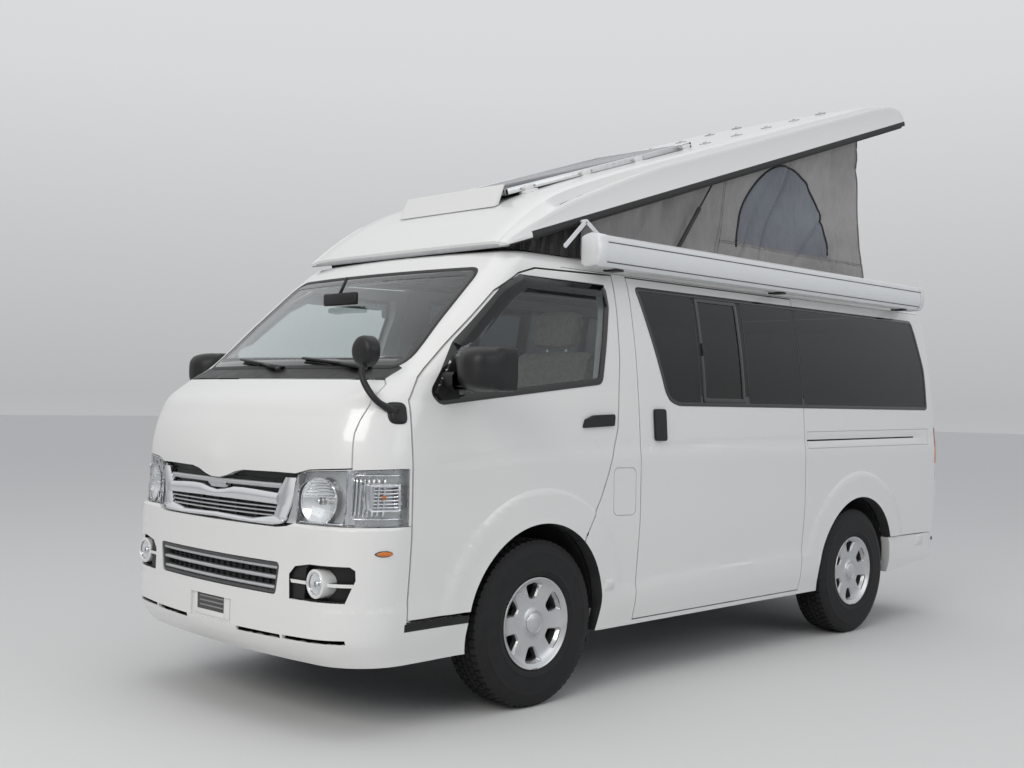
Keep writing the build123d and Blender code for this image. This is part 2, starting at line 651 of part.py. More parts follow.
half, cover_front, cover_rear, cover_top = ENGINE_COVER
cover = block(-half, half, cover_front, cover_rear, 601, cover_top)
nodes["engine_cover"] = cover - block(18 - half, half - 18, cover_front + 18, cover_rear - 18, 500, cover_top - 18)
floor = block(-800, 800, -2200, 2230, 560, 600) & inner
floor = floor - block(18 - half, half - 18, cover_front + 18, cover_rear - 18, 500, 700)
for centre_y, inside, _, _ in HOUSES:
    notch = rod_x(inside - HOUSE_SKIN - 1, 900, centre_y, HOUSE_Z, HOUSE_RADIUS + HOUSE_SKIN + 1)
    floor = floor - notch - mirrored(notch)
for side in (1, -1):
    floor = floor - block(side * 762, side * 900, -2100, -700, 300, 2000)
nodes["floor_pan"] = floor

# Chassis
CROSS_MEMBERS = [(-2100, 450), (-700, 512), (500, 450), (1700, 450), (2100, 450)]
frame = block(360, 420, -2150, 2200, 430, 540) + block(-420, -360, -2150, 2200, 430, 540)
for y, low in CROSS_MEMBERS:
    frame = frame + block(-360, 360, y, y + 70, low, 520)
nodes["chassis_frame"] = frame
nodes["engine_block"] = block(-230, 230, -1580, -920, 430, 740)
nodes["fuel_tank"] = prism([(440, 300), (700, 300), (700, 500), (440, 500)], "Y", -650, 350, 40)


def tube(points, radius, bend):
    """Returns a round tube along straight runs joined by tangent arcs."""
    path = FilletPolyline(*points, radius=bend)
    solid = sweep(Plane(path @ 0, z_dir=path % 0) * Circle(radius), path).solid()
    return solid if solid.volume > 0 else Solid(solid.wrapped.Reversed())


PIPE_FRONT = [(-190, -918, 400), (-190, -600, 330), (-260, -400, 330), (-260, 20, 330)]
PIPE_REAR = [
    (-260, 440, 330), (-260, 850, 330), (-260, 1080, 450), (-260, 1430, 450), (-260, 1640, 350),
    (-260, 2250, 330),
]
silencer = rod((-260, 0, 330), (-260, 450, 330), 88)
nodes["exhaust"] = tube(PIPE_FRONT, 25, 120) + silencer + tube(PIPE_REAR, 25, 120)

# Front suspension and knuckles
KINGPIN_X = 690.0
KINGPIN_Z = (225.0, 474.0)
PIN_RADIUS = 16.0
HUB_BORE = 30.0
ARM_HEIGHT = 34.0
# arm's bottom z, root x
ARMS = [(232, 330), (434, 420)]


def front_suspension():
    """Returns the fixed front suspension: a cross-member with two wishbones on each side."""
    form = block(-350, 350, FRONT_AXLE_Y - 60, FRONT_AXLE_Y + 60, 300, 380)
    tip = KINGPIN_X + 22
    for z, root in ARMS:
        arm = prism([(root, FRONT_AXLE_Y - 90), (root, FRONT_AXLE_Y + 90), (tip, FRONT_AXLE_Y + 20),
                     (tip, FRONT_AXLE_Y - 20)], "Z", z, z + ARM_HEIGHT)
        form = form + arm + mirrored(arm)
    upright = block(300, 345, FRONT_AXLE_Y - 60, FRONT_AXLE_Y + 60, 232, 430)
    pin_space = rod((KINGPIN_X, FRONT_AXLE_Y, 200), (KINGPIN_X, FRONT_AXLE_Y, 500), PIN_RADIUS + 0.05)
    return form + upright + mirrored(upright) - pin_space - mirrored(pin_space)


nodes["front_suspension"] = front_suspension()
kingpin = rod((KINGPIN_X, FRONT_AXLE_Y, KINGPIN_Z[0]), (KINGPIN_X, FRONT_AXLE_Y, KINGPIN_Z[1]), PIN_RADIUS)
upright = block(KINGPIN_X - 24, KINGPIN_X + 24, FRONT_AXLE_Y - 40, FRONT_AXLE_Y + 40, 275, 420)
stub = rod_x(KINGPIN_X, TRACK_X + 60, FRONT_AXLE_Y, AXLE_Z, HUB_BORE)
shield = rod_x(KINGPIN_X + 35, KINGPIN_X + 41, FRONT_AXLE_Y, AXLE_Z, 148)
nodes["knuckle_left"] = kingpin + upright + stub + shield
nodes["knuckle_right"] = mirrored(nodes["knuckle_left"])

# Rear axle
SPRING_HALF, SPRING_END_Z, SPRING_LOW_Z, SPRING_DEPTH = 620.0, 452.0, 312.0, 34.0


def leaf_spring():
    """Returns the left leaf spring, a bowed bar under the axle."""
    ends = [(520, REAR_AXLE_Y + run, SPRING_END_Z) for run in (-SPRING_HALF, SPRING_HALF)]
    upper = Edge.make_three_point_arc(ends[0], (520, REAR_AXLE_Y, SPRING_LOW_Z), ends[1])
    lower = upper.moved(Location((0, 0, -SPRING_DEPTH)))
    closing = [Edge.make_line(end, (end[0], end[1], end[2] - SPRING_DEPTH)) for end in ends]
    side = Face(Wire([upper, closing[1], lower, closing[0]]))
    return extrude(side, amount=35, dir=(1, 0, 0), both=True)


axle = rod_x(-640, 640, REAR_AXLE_Y, AXLE_Z, 42)
axle = axle + rod_x(-TRACK_X - 60, TRACK_X + 60, REAR_AXLE_Y, AXLE_Z, HUB_BORE)
axle = axle + Pos(0, REAR_AXLE_Y, AXLE_Z) * Sphere(140)
axle = axle + rod((0, REAR_AXLE_Y - 100, AXLE_Z), (0, -880, 480), 32)
for side in (1, -1):
    axle = axle + rod_x(side * 640, side * 705, REAR_AXLE_Y, AXLE_Z, 60)
    axle = axle + rod_x(side * 700, side * 755, REAR_AXLE_Y, AXLE_Z, 120)
spring = leaf_spring()
nodes["rear_axle"] = axle + spring + mirrored(spring)

# Wheels, as (along the axle outwards, from the axle)
TYRE_PROFILE = [
    (-88, 194), (-98, 250), (-96, 300), (-80, 338), (-60, 346), (60, 346), (80, 338), (96, 300),
    (98, 250), (88, 194),
]
RIM_PROFILE = [
    (34, 30.05), (62, 30.05), (62, 0), (84, 0), (84, 30), (80, 42), (70, 52), (66, 100), (72, 150),
    (84, 172), (92, 184), (92, 191), (-95, 191), (-95, 178), (20, 165), (34, 150),
]
WINDOW_COUNT = 6
# radius, half angle in degrees
WINDOW_EDGES = [(103.0, 9.0), (160.0, 15.0)]


def wheel_window(index):
    """Returns the cutter of one window in the left wheel's disc, about an axle at the origin."""
    middle = radians(360 / WINDOW_COUNT * index + 90)
    (low, low_half), (high, high_half) = WINDOW_EDGES
    places = [(low, -low_half), (high, -high_half), (high, high_half), (low, low_half)]
    points = [(r * cos(middle + radians(a)), r * sin(middle + radians(a))) for r, a in places]
    return prism(points, "X", 26, 110, 8)


def wheel():
    """Returns the left wheel about an axle at the origin."""
    form = revolve_profile(RIM_PROFILE, 0, 0, 0)
    for index in range(WINDOW_COUNT):
        form = form - wheel_window(index)
    return form


left_wheel = wheel()
left_tyre = revolve_profile([(along, max(out, 191)) for along, out in TYRE_PROFILE], 0, 0, 0)
for name, side, y in (
    ("front_left", 1, FRONT_AXLE_Y), ("front_right", -1, FRONT_AXLE_Y),
    ("rear_left", 1, REAR_AXLE_Y), ("rear_right", -1, REAR_AXLE_Y),
):
    for kind, form in (("wheel_", left_wheel), ("tyre_", left_tyre)):
        placed = Pos(TRACK_X, y, AXLE_Z) * form
        nodes[kind + name] = placed if side > 0 else mirrored(placed)

# Awning and fender mirror
AWNING_PROFILE = [
    (745, 1868), (770, 1852), (840, 1856), (862, 1900), (858, 1990), (800, 2006), (745, 1990),
]
nodes["awning_case"] = prism(AWNING_PROFILE, "Y", -1000, 2005, 8)
STALK_ROUTE = [(785, -2060, 1205), (778, -2150, 1255), (720, -2170, 1340), (700, -2143, 1420)]
stalk = Pos(*STALK_ROUTE[0]) * Sphere(14)
for start, end in zip(STALK_ROUTE, STALK_ROUTE[1:]):
    stalk = stalk + rod(start, end, 14) + Pos(*end) * Sphere(14)
round_head = rod((700, -2172, 1440), (700, -2112, 1440), 58)
round_head = fillet(round_head.edges().filter_by(GeomType.CIRCLE), 22)
stalk_base = (body_loft(-12) - plain_outer) & block(768, 860, -2102, -2032, 1168, 1252)
nodes["fender_mirror"] = (stalk + round_head - plain_outer) + stalk_base


# Pop-top lid
def lid_loft(rows, inset, bottom):
    """Returns the closed lid's form through its sections, pulled in by inset, down to bottom."""
    wires = []
    for run, half, wall, shoulder, crown in rows:
        y = LID_HINGE_Y + run
        flank = [
            (half - inset, y, LID_BOTTOM_Z + bottom), (half - inset, y, LID_BOTTOM_Z + wall - inset),
            (shoulder - inset, y, LID_BOTTOM_Z + crown - inset),
        ]
        wires.append(Wire.make_polygon(flank + [(-x, y, z) for x, y, z in reversed(flank)], close=True))
    return Solid.make_loft(wires, True)


def raised(shape):
    """Turns a piece of the closed lid up about its front hinge."""
    return shape.rotate(Axis((0, LID_HINGE_Y, LID_HINGE_Z), (1, 0, 0)), LID_ANGLE)


RIB_START, RIB_END, RIB_HALF, RIB_TOP = 1950.0, 3350.0, 30.0, 187.0
LINK_X = (734.0, 738.0)
LINK_HALF = 8.0
LINK_APEX = (-952.0, 2064.0)
# Foot y, foot z of the two arms of the link at the lid's side
LINK_FEET = [(-1083.0, 1943.0), (-868.0, 2011.5)]


def lid_link():
    """Returns the left folding link at the lid's side, as it stands raised."""
    form = rod_x(700, LINK_X[1], *LINK_APEX, LINK_HALF)
    for foot in LINK_FEET:
        run = (foot[0] - LINK_APEX[0], foot[1] - LINK_APEX[1])
        across = (-run[1] / hypot(*run) * LINK_HALF, run[0] / hypot(*run) * LINK_HALF)
        corners = [
            (LINK_APEX[0] + across[0], LINK_APEX[1] + across[1]),
            (LINK_APEX[0] - across[0], LINK_APEX[1] - across[1]),
            (foot[0] - across[0], foot[1] - across[1]), (foot[0] + across[0], foot[1] + across[1]),
        ]
        form = form + prism(corners, "X", *LINK_X) + rod_x(*LINK_X, *foot, LINK_HALF)
    return form


lid_outside = lid_loft(LID_SECTIONS, 0, 0)
lid_closed = lid_outside - lid_loft(LID_SECTIONS[1:-1], LID_WALL, -10)
for x in LID_RIB_X:
    rib = block(x - RIB_HALF, x + RIB_HALF, LID_HINGE_Y + RIB_START, LID_HINGE_Y + RIB_END,
                LID_BOTTOM_Z + 155, LID_BOTTOM_Z + RIB_TOP)
    lid_closed = lid_closed + rib + mirrored(rib)
strut_stud = rod_x(664, 690, *STRUT_HEAD, 8)
link = lid_link()
nodes["lid"] = raised(lid_closed) + strut_stud + mirrored(strut_stud) + link + mirrored(link)

# Solar panel with its feet and its wind deflector, in the lid's frame
PANEL_LOW, PANEL_HIGH = 174.0, 202.0
DEFLECTOR = [(326, 136), (410, 224), (420, 224), (420, 150), (345, 139)]
FOOT_RUNS = (560.0, 980.0, 1400.0, 1820.0)
panel_rear = LID_HINGE_Y + SOLAR_START + SOLAR_LENGTH
panel = block(-SOLAR_HALF, SOLAR_HALF, LID_HINGE_Y + SOLAR_START, panel_rear,
              LID_BOTTOM_Z + PANEL_LOW, LID_BOTTOM_Z + PANEL_HIGH)
panel = panel + prism([(LID_HINGE_Y + s, LID_BOTTOM_Z + h) for s, h in DEFLECTOR], "X", -SOLAR_HALF, SOLAR_HALF)
for run in FOOT_RUNS:
    foot = block(SOLAR_HALF - 50, SOLAR_HALF + 6, LID_HINGE_Y + run - 40, LID_HINGE_Y + run + 40,
                 LID_BOTTOM_Z + 150, LID_BOTTOM_Z + PANEL_LOW)
    panel = panel + foot + mirrored(foot)
nodes["solar_panel"] = raised(panel - lid_outside)

# Struts
foot = Vector(STRUT_X, *STRUT_FOOT)
head = Vector(STRUT_X, *STRUT_HEAD)
reach = (head - foot).normalized()
tube_end = foot + reach * 400
strut_tube = rod(tuple(foot), tuple(tube_end), 11) + rod_x(640, 660, *STRUT_FOOT, 13)
strut_tube = strut_tube - rod(tuple(foot + reach * 60), tuple(tube_end + reach), 5.06)
strut_tube = strut_tube - rod_x(600, 700, *STRUT_FOOT, PIN + PIN_PLAY)
strut_rod = rod(tuple(foot + reach * 240), tuple(head), 5) + rod_x(641, 658, *STRUT_HEAD, 10)
nodes["strut_tubes"] = both(strut_tube)
nodes["strut_rods"] = both(strut_rod)


# Tent canvas, a wedge of thin walls
def wedge(half, rear, low, rise):
    """Returns the wedge under the raised lid, up to rise above the lid's lower edge."""
    slope = sin(radians(LID_ANGLE)) / cos(radians(LID_ANGLE))
    front, top_rear = -1180.0, rear - 110.0
    heights = [LID_HINGE_Z + (y - LID_HINGE_Y) * slope + rise for y in (front, top_rear)]
    outline = [(front, low), (rear, low), (top_rear, heights[1]), (front, heights[0])]
    return prism(outline, "X", -half, half)


nodes["tent_canvas"] = wedge(632, 1690, ROOF_TOP, 52) - wedge(626, 1684, ROOF_TOP - 20, 160)

if __name__ == "__main__":
    os.makedirs("parts", exist_ok=True)
    for name, shape in nodes.items():
        pieces = solids_of(shape)
        whole = pieces[0] if len(pieces) == 1 else Compound(children=pieces)
        whole.label = name
        export_step(whole, f"parts/{name}.step")
        print(name, len(pieces), round(sum(piece.volume for piece in pieces) / 1e6, 2))
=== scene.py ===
"""Looks of the camper van: paint, glass, lamps, wheels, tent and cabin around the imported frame. Metres."""
import json
import math
import random

import bmesh
import bpy
import numpy as np
from mathutils import Matrix, Vector


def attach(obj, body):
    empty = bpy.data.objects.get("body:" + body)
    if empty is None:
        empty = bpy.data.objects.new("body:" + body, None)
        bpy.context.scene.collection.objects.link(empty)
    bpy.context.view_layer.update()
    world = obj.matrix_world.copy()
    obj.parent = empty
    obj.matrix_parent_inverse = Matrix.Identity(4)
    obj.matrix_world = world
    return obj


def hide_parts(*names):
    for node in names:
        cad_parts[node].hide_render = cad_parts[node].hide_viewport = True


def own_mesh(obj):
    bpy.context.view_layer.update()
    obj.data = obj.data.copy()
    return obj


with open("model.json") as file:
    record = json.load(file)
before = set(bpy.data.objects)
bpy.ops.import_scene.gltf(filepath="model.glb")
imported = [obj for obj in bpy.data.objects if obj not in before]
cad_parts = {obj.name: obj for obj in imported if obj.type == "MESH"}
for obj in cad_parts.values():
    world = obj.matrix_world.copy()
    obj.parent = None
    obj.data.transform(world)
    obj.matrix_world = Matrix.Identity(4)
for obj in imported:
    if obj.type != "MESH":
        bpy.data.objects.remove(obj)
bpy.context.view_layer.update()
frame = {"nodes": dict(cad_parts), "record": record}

ROOT = "van_body"
SIDES = ((1, "left", "door_left"), (-1, "right", "door_right"))
ARCH_RADIUS = 0.4
FRONT_ARCH, REAR_ARCH = (-1.305, 0.36), (1.29, 0.36)

# The body's plan outlines
# z, half width, nose y, nose bow radius, nose corner radius, rear y, rear corner radius
BODY_SECTIONS = np.array([
    (0.265, 0.794, -2.285, 4.2, 0.230, 2.300, 0.080),
    (0.300, 0.801, -2.315, 4.2, 0.240, 2.302, 0.085),
    (0.370, 0.816, -2.346, 4.2, 0.240, 2.304, 0.090),
    (0.500, 0.826, -2.3475, 4.2, 0.240, 2.306, 0.090),
    (0.700, 0.842, -2.3475, 4.2, 0.245, 2.308, 0.090),
    (0.778, 0.845, -2.343, 4.2, 0.250, 2.309, 0.090),
    (0.792, 0.845, -2.338, 3.3, 0.260, 2.309, 0.090),
    (1.000, 0.845, -2.336, 2.8, 0.260, 2.310, 0.090),
    (1.100, 0.837, -2.324, 2.8, 0.260, 2.308, 0.090),
    (1.180, 0.831, -2.300, 2.8, 0.260, 2.306, 0.090),
    (1.260, 0.825, -2.252, 2.9, 0.260, 2.302, 0.088),
    (1.330, 0.818, -2.145, 3.0, 0.220, 2.298, 0.086),
    (1.380, 0.814, -2.062, 2.5, 0.150, 2.295, 0.084),
    (1.600, 0.784, -1.800, 2.9, 0.125, 2.282, 0.080),
    (1.830, 0.732, -1.527, 3.5, 0.110, 2.262, 0.080),
    (1.862, 0.716, -1.490, 3.5, 0.105, 2.250, 0.080),
    (1.888, 0.692, -1.455, 3.5, 0.100, 2.232, 0.080),
    (1.901, 0.668, -1.415, 3.5, 0.095, 2.200, 0.080),
    (1.908, 0.640, -1.365, 3.5, 0.090, 2.150, 0.080),
])
REAR_BOW = 9.0
SMOOTH_TOP_Z = 1.85


def section_values(z, smooth):
    """Returns the six outline values at each height, by straight spans or by a monotone cubic."""
    heights, table = BODY_SECTIONS[:, 0], BODY_SECTIONS[:, 1:]
    z = np.clip(z, heights[0], heights[-1])
    row = np.clip(np.searchsorted(heights, z, side="right") - 1, 0, len(heights) - 2)
    span = (heights[1:] - heights[:-1])[:, None]
    t = ((z - heights[row]) / span[row, 0])[:, None]
    if not smooth:
        return table[row] + t * (table[row + 1] - table[row])
    slope = (table[1:] - table[:-1]) / span
    tangent = np.vstack([slope[:1], 0.5 * (slope[1:] + slope[:-1]), slope[-1:]])
    tangent[1:-1][slope[1:] * slope[:-1] <= 0] = 0
    limit = 2.0 * np.minimum(np.abs(slope[1:]), np.abs(slope[:-1]))
    tangent[1:-1] = np.clip(tangent[1:-1], -limit, limit)
    a, b = tangent[row] * span[row], tangent[row + 1] * span[row]
    return (table[row] * (2 * t**3 - 3 * t**2 + 1) + a * (t**3 - 2 * t**2 + t)
            + table[row + 1] * (3 * t**2 - 2 * t**3) + b * (t**3 - t**2))


def skin_offset(points, smooth=True):
    """Returns each point's distance outside the body skin in plan, and the outward normal in plan."""
    x, y, z = np.abs(points[:, 0]), points[:, 1], points[:, 2]
    half, nose, bow, corner, rear, rear_corner = section_values(z, smooth).T
    distance = x - half
    normal = np.stack([np.ones_like(x), np.zeros_like(x)], 1)
    tail_bow = np.full_like(x, REAR_BOW)
    for centre, radius, small, sign in (
        (nose + bow, bow, corner, -1), (rear - REAR_BOW, tail_bow, rear_corner, 1),
    ):
        cx = half - small
        cy = centre + sign * np.sqrt((radius - small) ** 2 - cx**2)
        beyond = sign * (y - cy) > 0
        from_big = np.stack([x, y - centre], 1)
        from_small = np.stack([x - cx, y - cy], 1)
        on_bow = beyond & (x * sign * (cy - centre) < cx * sign * (y - centre))
        for where, vector, size in ((on_bow, from_big, radius), (beyond & ~on_bow, from_small, small)):
            length = np.maximum(np.hypot(vector[:, 0], vector[:, 1]), 1e-9)
            distance = np.where(where, length - size, distance)
            normal = np.where(where[:, None], vector / length[:, None], normal)
    normal[:, 0] *= np.where(points[:, 0] < 0, -1.0, 1.0)
    return distance, normal


# Plain shapes
def placed(name, data):
    """Puts a mesh, a camera or a lamp into the scene as a new object."""
    item = bpy.data.objects.new(name, data)
    bpy.context.scene.collection.objects.link(item)
    return item


def mesh_object(name, vertices, faces, edges=()):
    """Returns a new smooth mesh object from plain lists."""
    mesh = bpy.data.meshes.new(name)
    mesh.from_pydata([tuple(v) for v in vertices], edges, faces)
    mesh.update()
    mesh.shade_smooth()
    return placed(name, mesh)


def smooth_by_angle(piece, angle):
    """Shades a piece smooth, and marks the edges that turn more than the angle as sharp."""
    piece.data.shade_smooth()
    bm = bmesh.new()
    bm.from_mesh(piece.data)
    for edge in bm.edges:
        edge.smooth = len(edge.link_faces) == 2 and edge.calc_face_angle(0.0) < math.radians(angle)
    bm.to_mesh(piece.data)
    bm.free()
    return piece


def from_bmesh(name, bm, sharp_angle=35.0):
    """Returns a new object from a bmesh, smooth but for its sharp edges."""
    mesh = bpy.data.meshes.new(name)
    bm.to_mesh(mesh)
    bm.free()
    return smooth_by_angle(placed(name, mesh), sharp_angle)


def outward(piece):
    """Turns a closed piece's faces outwards."""
    bm = bmesh.new()
    bm.from_mesh(piece.data)
    bmesh.ops.remove_doubles(bm, verts=bm.verts, dist=1e-6)
    bmesh.ops.recalc_face_normals(bm, faces=bm.faces)
    bm.to_mesh(piece.data)
    bm.free()
    return piece


def skin_faces(rows, count, closed=True, loop=False, first=0):
    """Returns the quads between rows of points, where a row may be closed and the last may meet the first."""
    faces = []
    for j in range(rows if loop else rows - 1):
        low, high = first + j * count, first + (j + 1) % rows * count
        for i in range(count if closed else count - 1):
            k = (i + 1) % count
            faces.append((low + i, low + k, high + k, high + i))
    return faces


def lofted(name, rings, angle=45.0, loop=False):
    """Returns a closed piece through closed rings of points, capped at both ends or looped."""
    rings = [list(ring) for ring in rings]
    rows, count = len(rings), len(rings[0])
    faces = skin_faces(rows, count, True, loop)
    if not loop:
        faces += [tuple(range(count))[::-1], tuple(range((rows - 1) * count, rows * count))]
    piece = outward(mesh_object(name, [point for ring in rings for point in ring], faces))
    return smooth_by_angle(piece, angle) if angle else piece


def turns(sides):
    """Returns the angles of equal steps round a circle."""
    return [2 * math.pi * k / sides for k in range(sides)]


def turned_to(normal):
    """Returns the matrix that turns +Z to face along normal."""
    return Vector(normal).normalized().to_track_quat("Z", "Y").to_matrix()


def circle(centre, turn, radius, height=0.0, sides=40):
    """Returns points round a centre, in a frame turned by a matrix."""
    around = [(radius * math.cos(a), radius * math.sin(a), height) for a in turns(sides)]
    return [Vector(centre) + turn @ Vector(point) for point in around]


def tube(name, points, radius, sides=12, closed=False):
    """Returns a round tube along a line of points, with one radius or one for each point."""
    points = [Vector(p) for p in points]
    count = len(points)
    radii = radius if isinstance(radius, (list, tuple)) else [radius] * count
    rings = []
    for i, (point, size) in enumerate(zip(points, radii)):
        before = points[i - 1] if (i or closed) else point
        after = points[(i + 1) % count] if (i < count - 1 or closed) else point
        along = (after - before).normalized()
        across = along.cross(Vector((0, 0, 1)))
        if across.length < 1e-3:
            across = along.cross(Vector((0, 1, 0)))
        across.normalize()
        raised = across.cross(along)
        rings.append([point + (across * math.cos(a) + raised * math.sin(a)) * size for a in turns(sides)])
    return lofted(name, rings, None, closed)


def disc(name, centre, normal, radius, depth, rim=0.002, sides=40):
    """Returns a thin round disc with a rolled edge, facing along normal."""
    edges = ((radius, -depth), (radius, -rim), (radius - rim, 0))
    return lofted(name, [circle(centre, turned_to(normal), size, height, sides) for size, height in edges])


def ring(name, centre, normal, radius, thick, sides=56):
    """Returns a round bead about a centre."""
    return tube(name, circle(centre, turned_to(normal), radius, 0.0, sides), thick, 8, closed=True)


def dish(name, centre, normal, radius, depth, inner=0.1, steps=8, wall=0.0015):
    """Returns a shallow bowl with a thin wall that opens along normal."""
    shells = []
    for thick in (0.0, wall):
        sizes = [(radius * (inner + (1 - inner) * j / steps), -depth * (1 - (j / steps) ** 2) - thick)
                 for j in range(steps + 1)]
        shells.append([circle(centre, turned_to(normal), size, height, 56) for size, height in sizes])
    return lofted(name, shells[0] + shells[1][::-1], 40, loop=True)


def bent_box(name, low, high, radius=0.003, segments=2, bend=None):
    """Returns a box between two corners with rounded edges, moved point by point where bend is given."""
    bm = bmesh.new()
    bmesh.ops.create_cube(bm, size=1.0)
    for vert in bm.verts:
        vert.co = Vector([low[i] + (vert.co[i] + 0.5) * (high[i] - low[i]) for i in range(3)])
    bmesh.ops.bevel(bm, geom=bm.edges[:], offset=radius, segments=segments, profile=0.5, affect="EDGES")
    block = from_bmesh(name, bm, 50)
    for vert in block.data.vertices if bend else ():
        vert.co = bend(*vert.co)
    return block


def dense(points, step):
    """Returns a line of points with no span longer than step, on a smooth curve through them."""
    points = [np.array(p, float) for p in points]
    result = []
    for i in range(len(points) - 1):
        p0, p1 = points[max(i - 1, 0)], points[i]
        p2, p3 = points[i + 1], points[min(i + 2, len(points) - 1)]
        bend, twist = 2 * p0 - 5 * p1 + 4 * p2 - p3, 3 * p1 - p0 - 3 * p2 + p3
        parts = max(1, int(np.linalg.norm(p2 - p1) / step))
        for t in [k / parts for k in range(parts)]:
            result.append(0.5 * (2 * p1 + (p2 - p0) * t + bend * t**2 + twist * t**3))
    return result + [points[-1]]


def evenly(start, end, steps):
    """Returns the points of a straight line in equal steps, both ends included."""
    return [tuple(a + (b - a) * k / steps for a, b in zip(start, end)) for k in range(steps + 1)]


def mirror_copy(piece):
    """Returns a copy of a piece on the other side of the van."""
    mesh = piece.data.copy()
    for vert in mesh.vertices:
        vert.co.x = -vert.co.x
    mesh.flip_normals()
    return placed(piece.name + "_twin", mesh)


def applied(piece):
    """Returns the piece with its modifiers made plain mesh."""
    mesh = bpy.data.meshes.new_from_object(piece.evaluated_get(bpy.context.evaluated_depsgraph_get()))
    piece.modifiers.clear()
    piece.data = mesh
    return piece


def walled(piece, thickness, offset=-1):
    """Gives an open piece a wall."""
    wall = piece.modifiers.new("wall", "SOLIDIFY")
    wall.thickness, wall.offset = thickness, offset
    return applied(piece)


def joined(name, pieces):
    """Joins mesh pieces into one, keeping each one's materials."""
    bpy.ops.object.select_all(action="DESELECT")
    for piece in pieces:
        piece.select_set(True)
    bpy.context.view_layer.objects.active = pieces[0]
    bpy.ops.object.join()
    whole = bpy.context.view_layer.objects.active
    whole.name = whole.data.name = name
    return whole


def painted(material, *pieces):
    """Gives loose pieces one material, before they are joined."""
    for piece in pieces:
        piece.data.materials.clear()
        piece.data.materials.append(material)
    return list(pieces)


def finished(piece, material, body=ROOT, node=None):
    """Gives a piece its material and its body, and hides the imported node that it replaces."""
    if material is not None:
        painted(material, piece)
    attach(piece, body)
    if node:
        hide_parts(node)
    return piece


# Materials
def feed(node, inputs):
    """Links sockets into a node's inputs and sets the other values."""
    for place, value in inputs.items():
        if isinstance(value, bpy.types.NodeSocket):
            node.id_data.links.new(value, node.inputs[place])
        else:
            node.inputs[place].default_value = value
    return node


def add_node(tree, kind, inputs=None, **settings):
    """Adds a node with its own settings and with its inputs linked or set."""
    node = tree.nodes.new(kind)
    for name, value in settings.items():
        setattr(node, name, value)
    return feed(node, inputs or {})


def new_material(name):
    """Returns a material with one principled shader, its tree and the shader."""
    material = bpy.data.materials.new(name)
    material.use_nodes = True
    return material, material.node_tree, material.node_tree.nodes["Principled BSDF"]


def add_noise(tree, scale, detail=3.0, stretch=(1, 1, 1), distortion=0.0):
    """Returns the value of a noise on object coordinates."""
    place = add_node(tree, "ShaderNodeTexCoord").outputs["Object"]
    mapping = add_node(tree, "ShaderNodeMapping", {"Vector": place, "Scale": stretch})
    sizes = {"Scale": scale, "Detail": detail, "Roughness": 0.55, "Distortion": distortion}
    return add_node(tree, "ShaderNodeTexNoise", {"Vector": mapping.outputs["Vector"], **sizes}).outputs["Fac"]


def add_ramp(tree, source, stops):
    """Returns the colour of a ramp fed by source, with stops of (place, colour)."""
    ramp = add_node(tree, "ShaderNodeValToRGB", {"Fac": source})
    elements = ramp.color_ramp.elements
    while len(elements) < len(stops):
        elements.new(0.5)
    for element, (place, colour) in zip(elements, stops):
        element.position = place
        element.color = (*colour, 1.0)
    return ramp.outputs["Color"]


def greys(low_place, low, high_place, high):
    """Returns two grey stops of a ramp."""
    return [(low_place, (low,) * 3), (high_place, (high,) * 3)]


def add_bump(shader, source, strength, distance):
    """Feeds a height into the shader's normal through a bump node."""
    inputs = {"Height": source, "Strength": strength, "Distance": distance}
    bump = add_node(shader.id_data, "ShaderNodeBump", inputs)
    feed(shader, {"Normal": bump.outputs["Normal"]})
    return bump


def finish_material(name, colour, roughness, metallic=0.0, spread=0.04, scale=8.0, bump=0.0, bump_scale=400.0,
                    coat=0.0, specular=0.5, sheen=0.0, rough_spread=0.06):
    """Returns a material with colour and roughness that vary a little, and a fine grain."""
    material, tree, shader = new_material(name)
    noise = add_noise(tree, scale)
    dark = tuple(c * (1 - spread) for c in colour)
    light = tuple(min(1.0, c * (1 + spread)) for c in colour)
    rough = greys(0.3, max(0.0, roughness - rough_spread), 0.7, min(1.0, roughness + rough_spread))
    feed(shader, {
        "Metallic": metallic, "Specular IOR Level": specular, "Coat Weight": coat, "Coat Roughness": 0.03,
        "Sheen Weight": sheen, "Base Color": add_ramp(tree, noise, [(0.35, dark), (0.65, light)]),
        "Roughness": add_ramp(tree, noise, rough),
    })
    if bump:
        add_bump(shader, add_noise(tree, bump_scale, 2.0), bump, 0.0005)
    return material


def glass_material(name, colour, roughness=0.0):
    """Returns clear or tinted glass with faint dust in its roughness."""
    material, tree, shader = new_material(name)
    dust = add_ramp(tree, add_noise(tree, 3.0, 4.0), greys(0.45, roughness, 0.75, roughness + 0.02))
    feed(shader, {"Base Color": (*colour, 1.0), "Transmission Weight": 1.0, "IOR": 1.45, "Roughness": dust})
    return material


def solar_cells():
    """Returns dark cells with thin light lines, laid out in the pane's own coordinates."""
    material, tree, shader = new_material("solar_cells")
    brick = add_node(tree, "ShaderNodeTexBrick", {
        "Vector": add_node(tree, "ShaderNodeUVMap", uv_map="cells").outputs["UV"],
        "Scale": 1.0, "Brick Width": 0.25, "Row Height": 1 / 9, "Mortar Size": 0.0025,
        "Color1": (0.008, 0.012, 0.03, 1), "Color2": (0.012, 0.017, 0.04, 1), "Mortar": (0.3, 0.32, 0.34, 1),
    }, offset=0.0)
    rough = add_ramp(tree, add_noise(tree, 5.0), greys(0.3, 0.1, 0.7, 0.2))
    feed(shader, {"Base Color": brick.outputs["Color"], "Roughness": rough})
    return material


